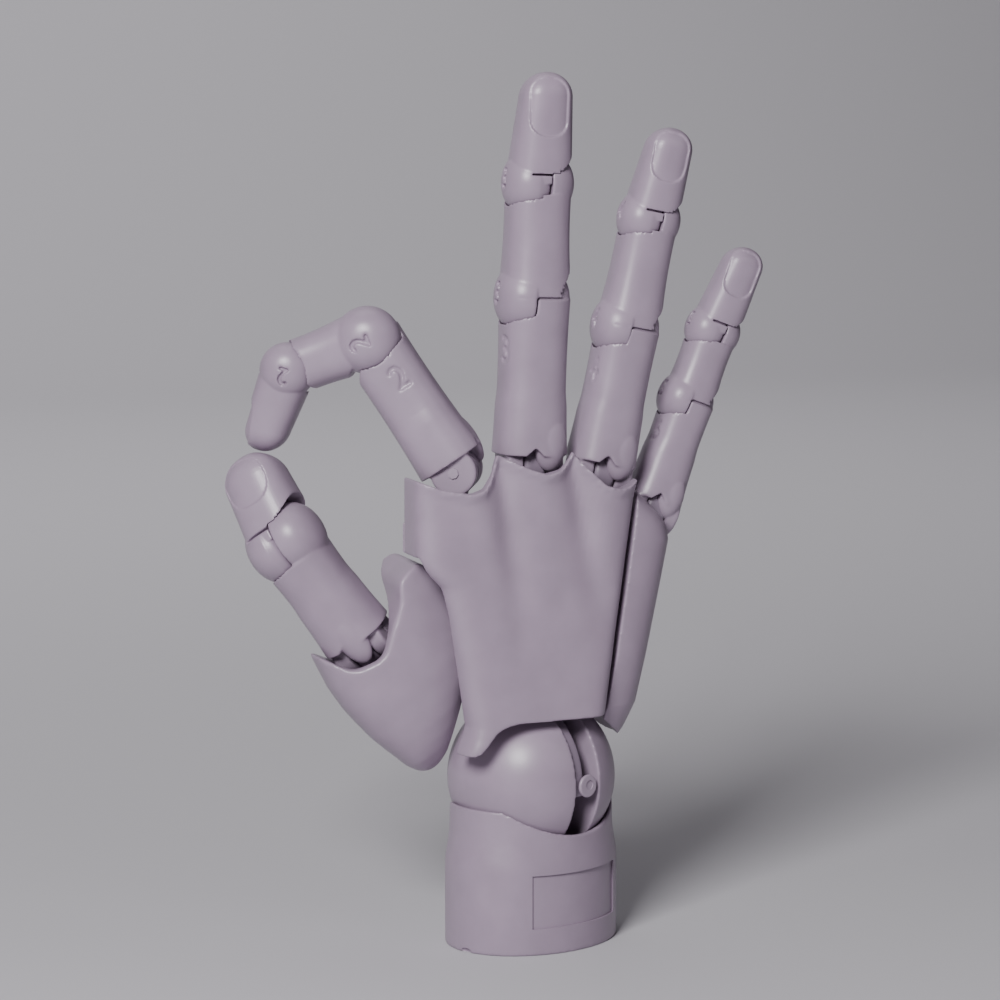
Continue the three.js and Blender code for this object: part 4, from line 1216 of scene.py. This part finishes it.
def place_camera(context):
    """Stand where the photograph was taken from, with the shift that its framing needs."""
    camera = bpy.data.cameras.new("camera")
    camera.sensor_width = SENSOR
    camera.lens = SENSOR * DISTANCE / SEEN_WIDTH
    camera.shift_x = (FRAME_PIXELS / 2 - AIM_PIXEL[0]) / FRAME_PIXELS
    camera.shift_y = (AIM_PIXEL[1] - FRAME_PIXELS / 2) / FRAME_PIXELS
    flat = math.cos(ELEVATION)
    back = Vector((math.sin(AZIMUTH) * flat, -math.cos(AZIMUTH) * flat, math.sin(ELEVATION)))
    stand = bpy.data.objects.new("camera", camera)
    stand.location = AIM + back * DISTANCE
    stand.rotation_euler = back.to_track_quat("Z", "Y").to_euler()
    context.scene.collection.objects.link(stand)
    context.scene.camera = stand


class HAND_OT_stage(bpy.types.Operator):
    """Set up the floor, the soft lights and the camera"""
    bl_idname = "hand.stage"
    bl_label = "Stage"

    def execute(self, context):
        sweep = scratch(backdrop)
        sweep.name = "floor"
        paper = bpy.data.materials.new("matt paper backdrop")
        paper.use_nodes = True
        shader = paper.node_tree.nodes["Principled BSDF"]
        shader.inputs["Base Color"].default_value = colours().floor
        shader.inputs["Roughness"].default_value = PAPER_ROUGHNESS
        sweep.data.materials.append(paper)
        for settings in SOFTBOXES:
            softbox(*settings)
        world = bpy.data.worlds.new("studio")
        world.use_nodes = True
        background = world.node_tree.nodes["Background"]
        background.inputs["Color"].default_value = WORLD_COLOUR
        background.inputs["Strength"].default_value = WORLD_STRENGTH
        context.scene.world = world
        place_camera(context)
        return {"FINISHED"}


# Inner pieces and the panel


# Nodes inside the hand, coloured darker as painted shade
INNER_NODES = ("palm_frame", "wrist_core", "wrist_post", "forearm_foot")


class HAND_OT_inner_pieces(bpy.types.Operator):
    """Give the pieces that stay as the part has them their plastics"""
    bl_idname = "hand.inner_pieces"
    bl_label = "Inner pieces"

    def execute(self, context):
        for name, node in frame["nodes"].items():
            node.data.materials.clear()
            pin = name.endswith("_pin") or "screw" in name
            inside = name in INNER_NODES or name.endswith("_knuckle")
            # Inner pieces get the darker colour that paints the shade inside the hand
            plastic = pin_plastic() if pin else shaded_inner_plastic() if inside else skin_plastic()
            node.data.materials.append(plastic)
        return {"FINISHED"}


class HAND_PT_pieces(bpy.types.Panel):
    """List the hand's pieces"""
    bl_idname = "HAND_PT_pieces"
    bl_label = "Hand mannequin"
    bl_space_type = "VIEW_3D"
    bl_region_type = "UI"
    bl_category = "Hand"

    def draw(self, context):
        for operator in OPERATORS:
            self.layout.operator(operator.bl_idname)


OPERATORS = (
    HAND_OT_inner_pieces, HAND_OT_fingers, HAND_OT_thumb, HAND_OT_palm, HAND_OT_wrist, HAND_OT_stage)
CLASSES = (HandSizes, HandColours, *OPERATORS, HAND_PT_pieces)


def register():
    for item in CLASSES:
        bpy.utils.register_class(item)
    bpy.types.Scene.hand_sizes = PointerProperty(type=HandSizes)
    bpy.types.Scene.hand_colours = PointerProperty(type=HandColours)


def unregister():
    del bpy.types.Scene.hand_colours
    del bpy.types.Scene.hand_sizes
    for item in reversed(CLASSES):
        bpy.utils.unregister_class(item)


def main():
    register()
    bpy.ops.hand.inner_pieces()
    bpy.ops.hand.fingers()
    bpy.ops.hand.thumb()
    bpy.ops.hand.palm()
    bpy.ops.hand.wrist()
    bpy.ops.hand.stage()


if __name__ == "__main__":
    main()
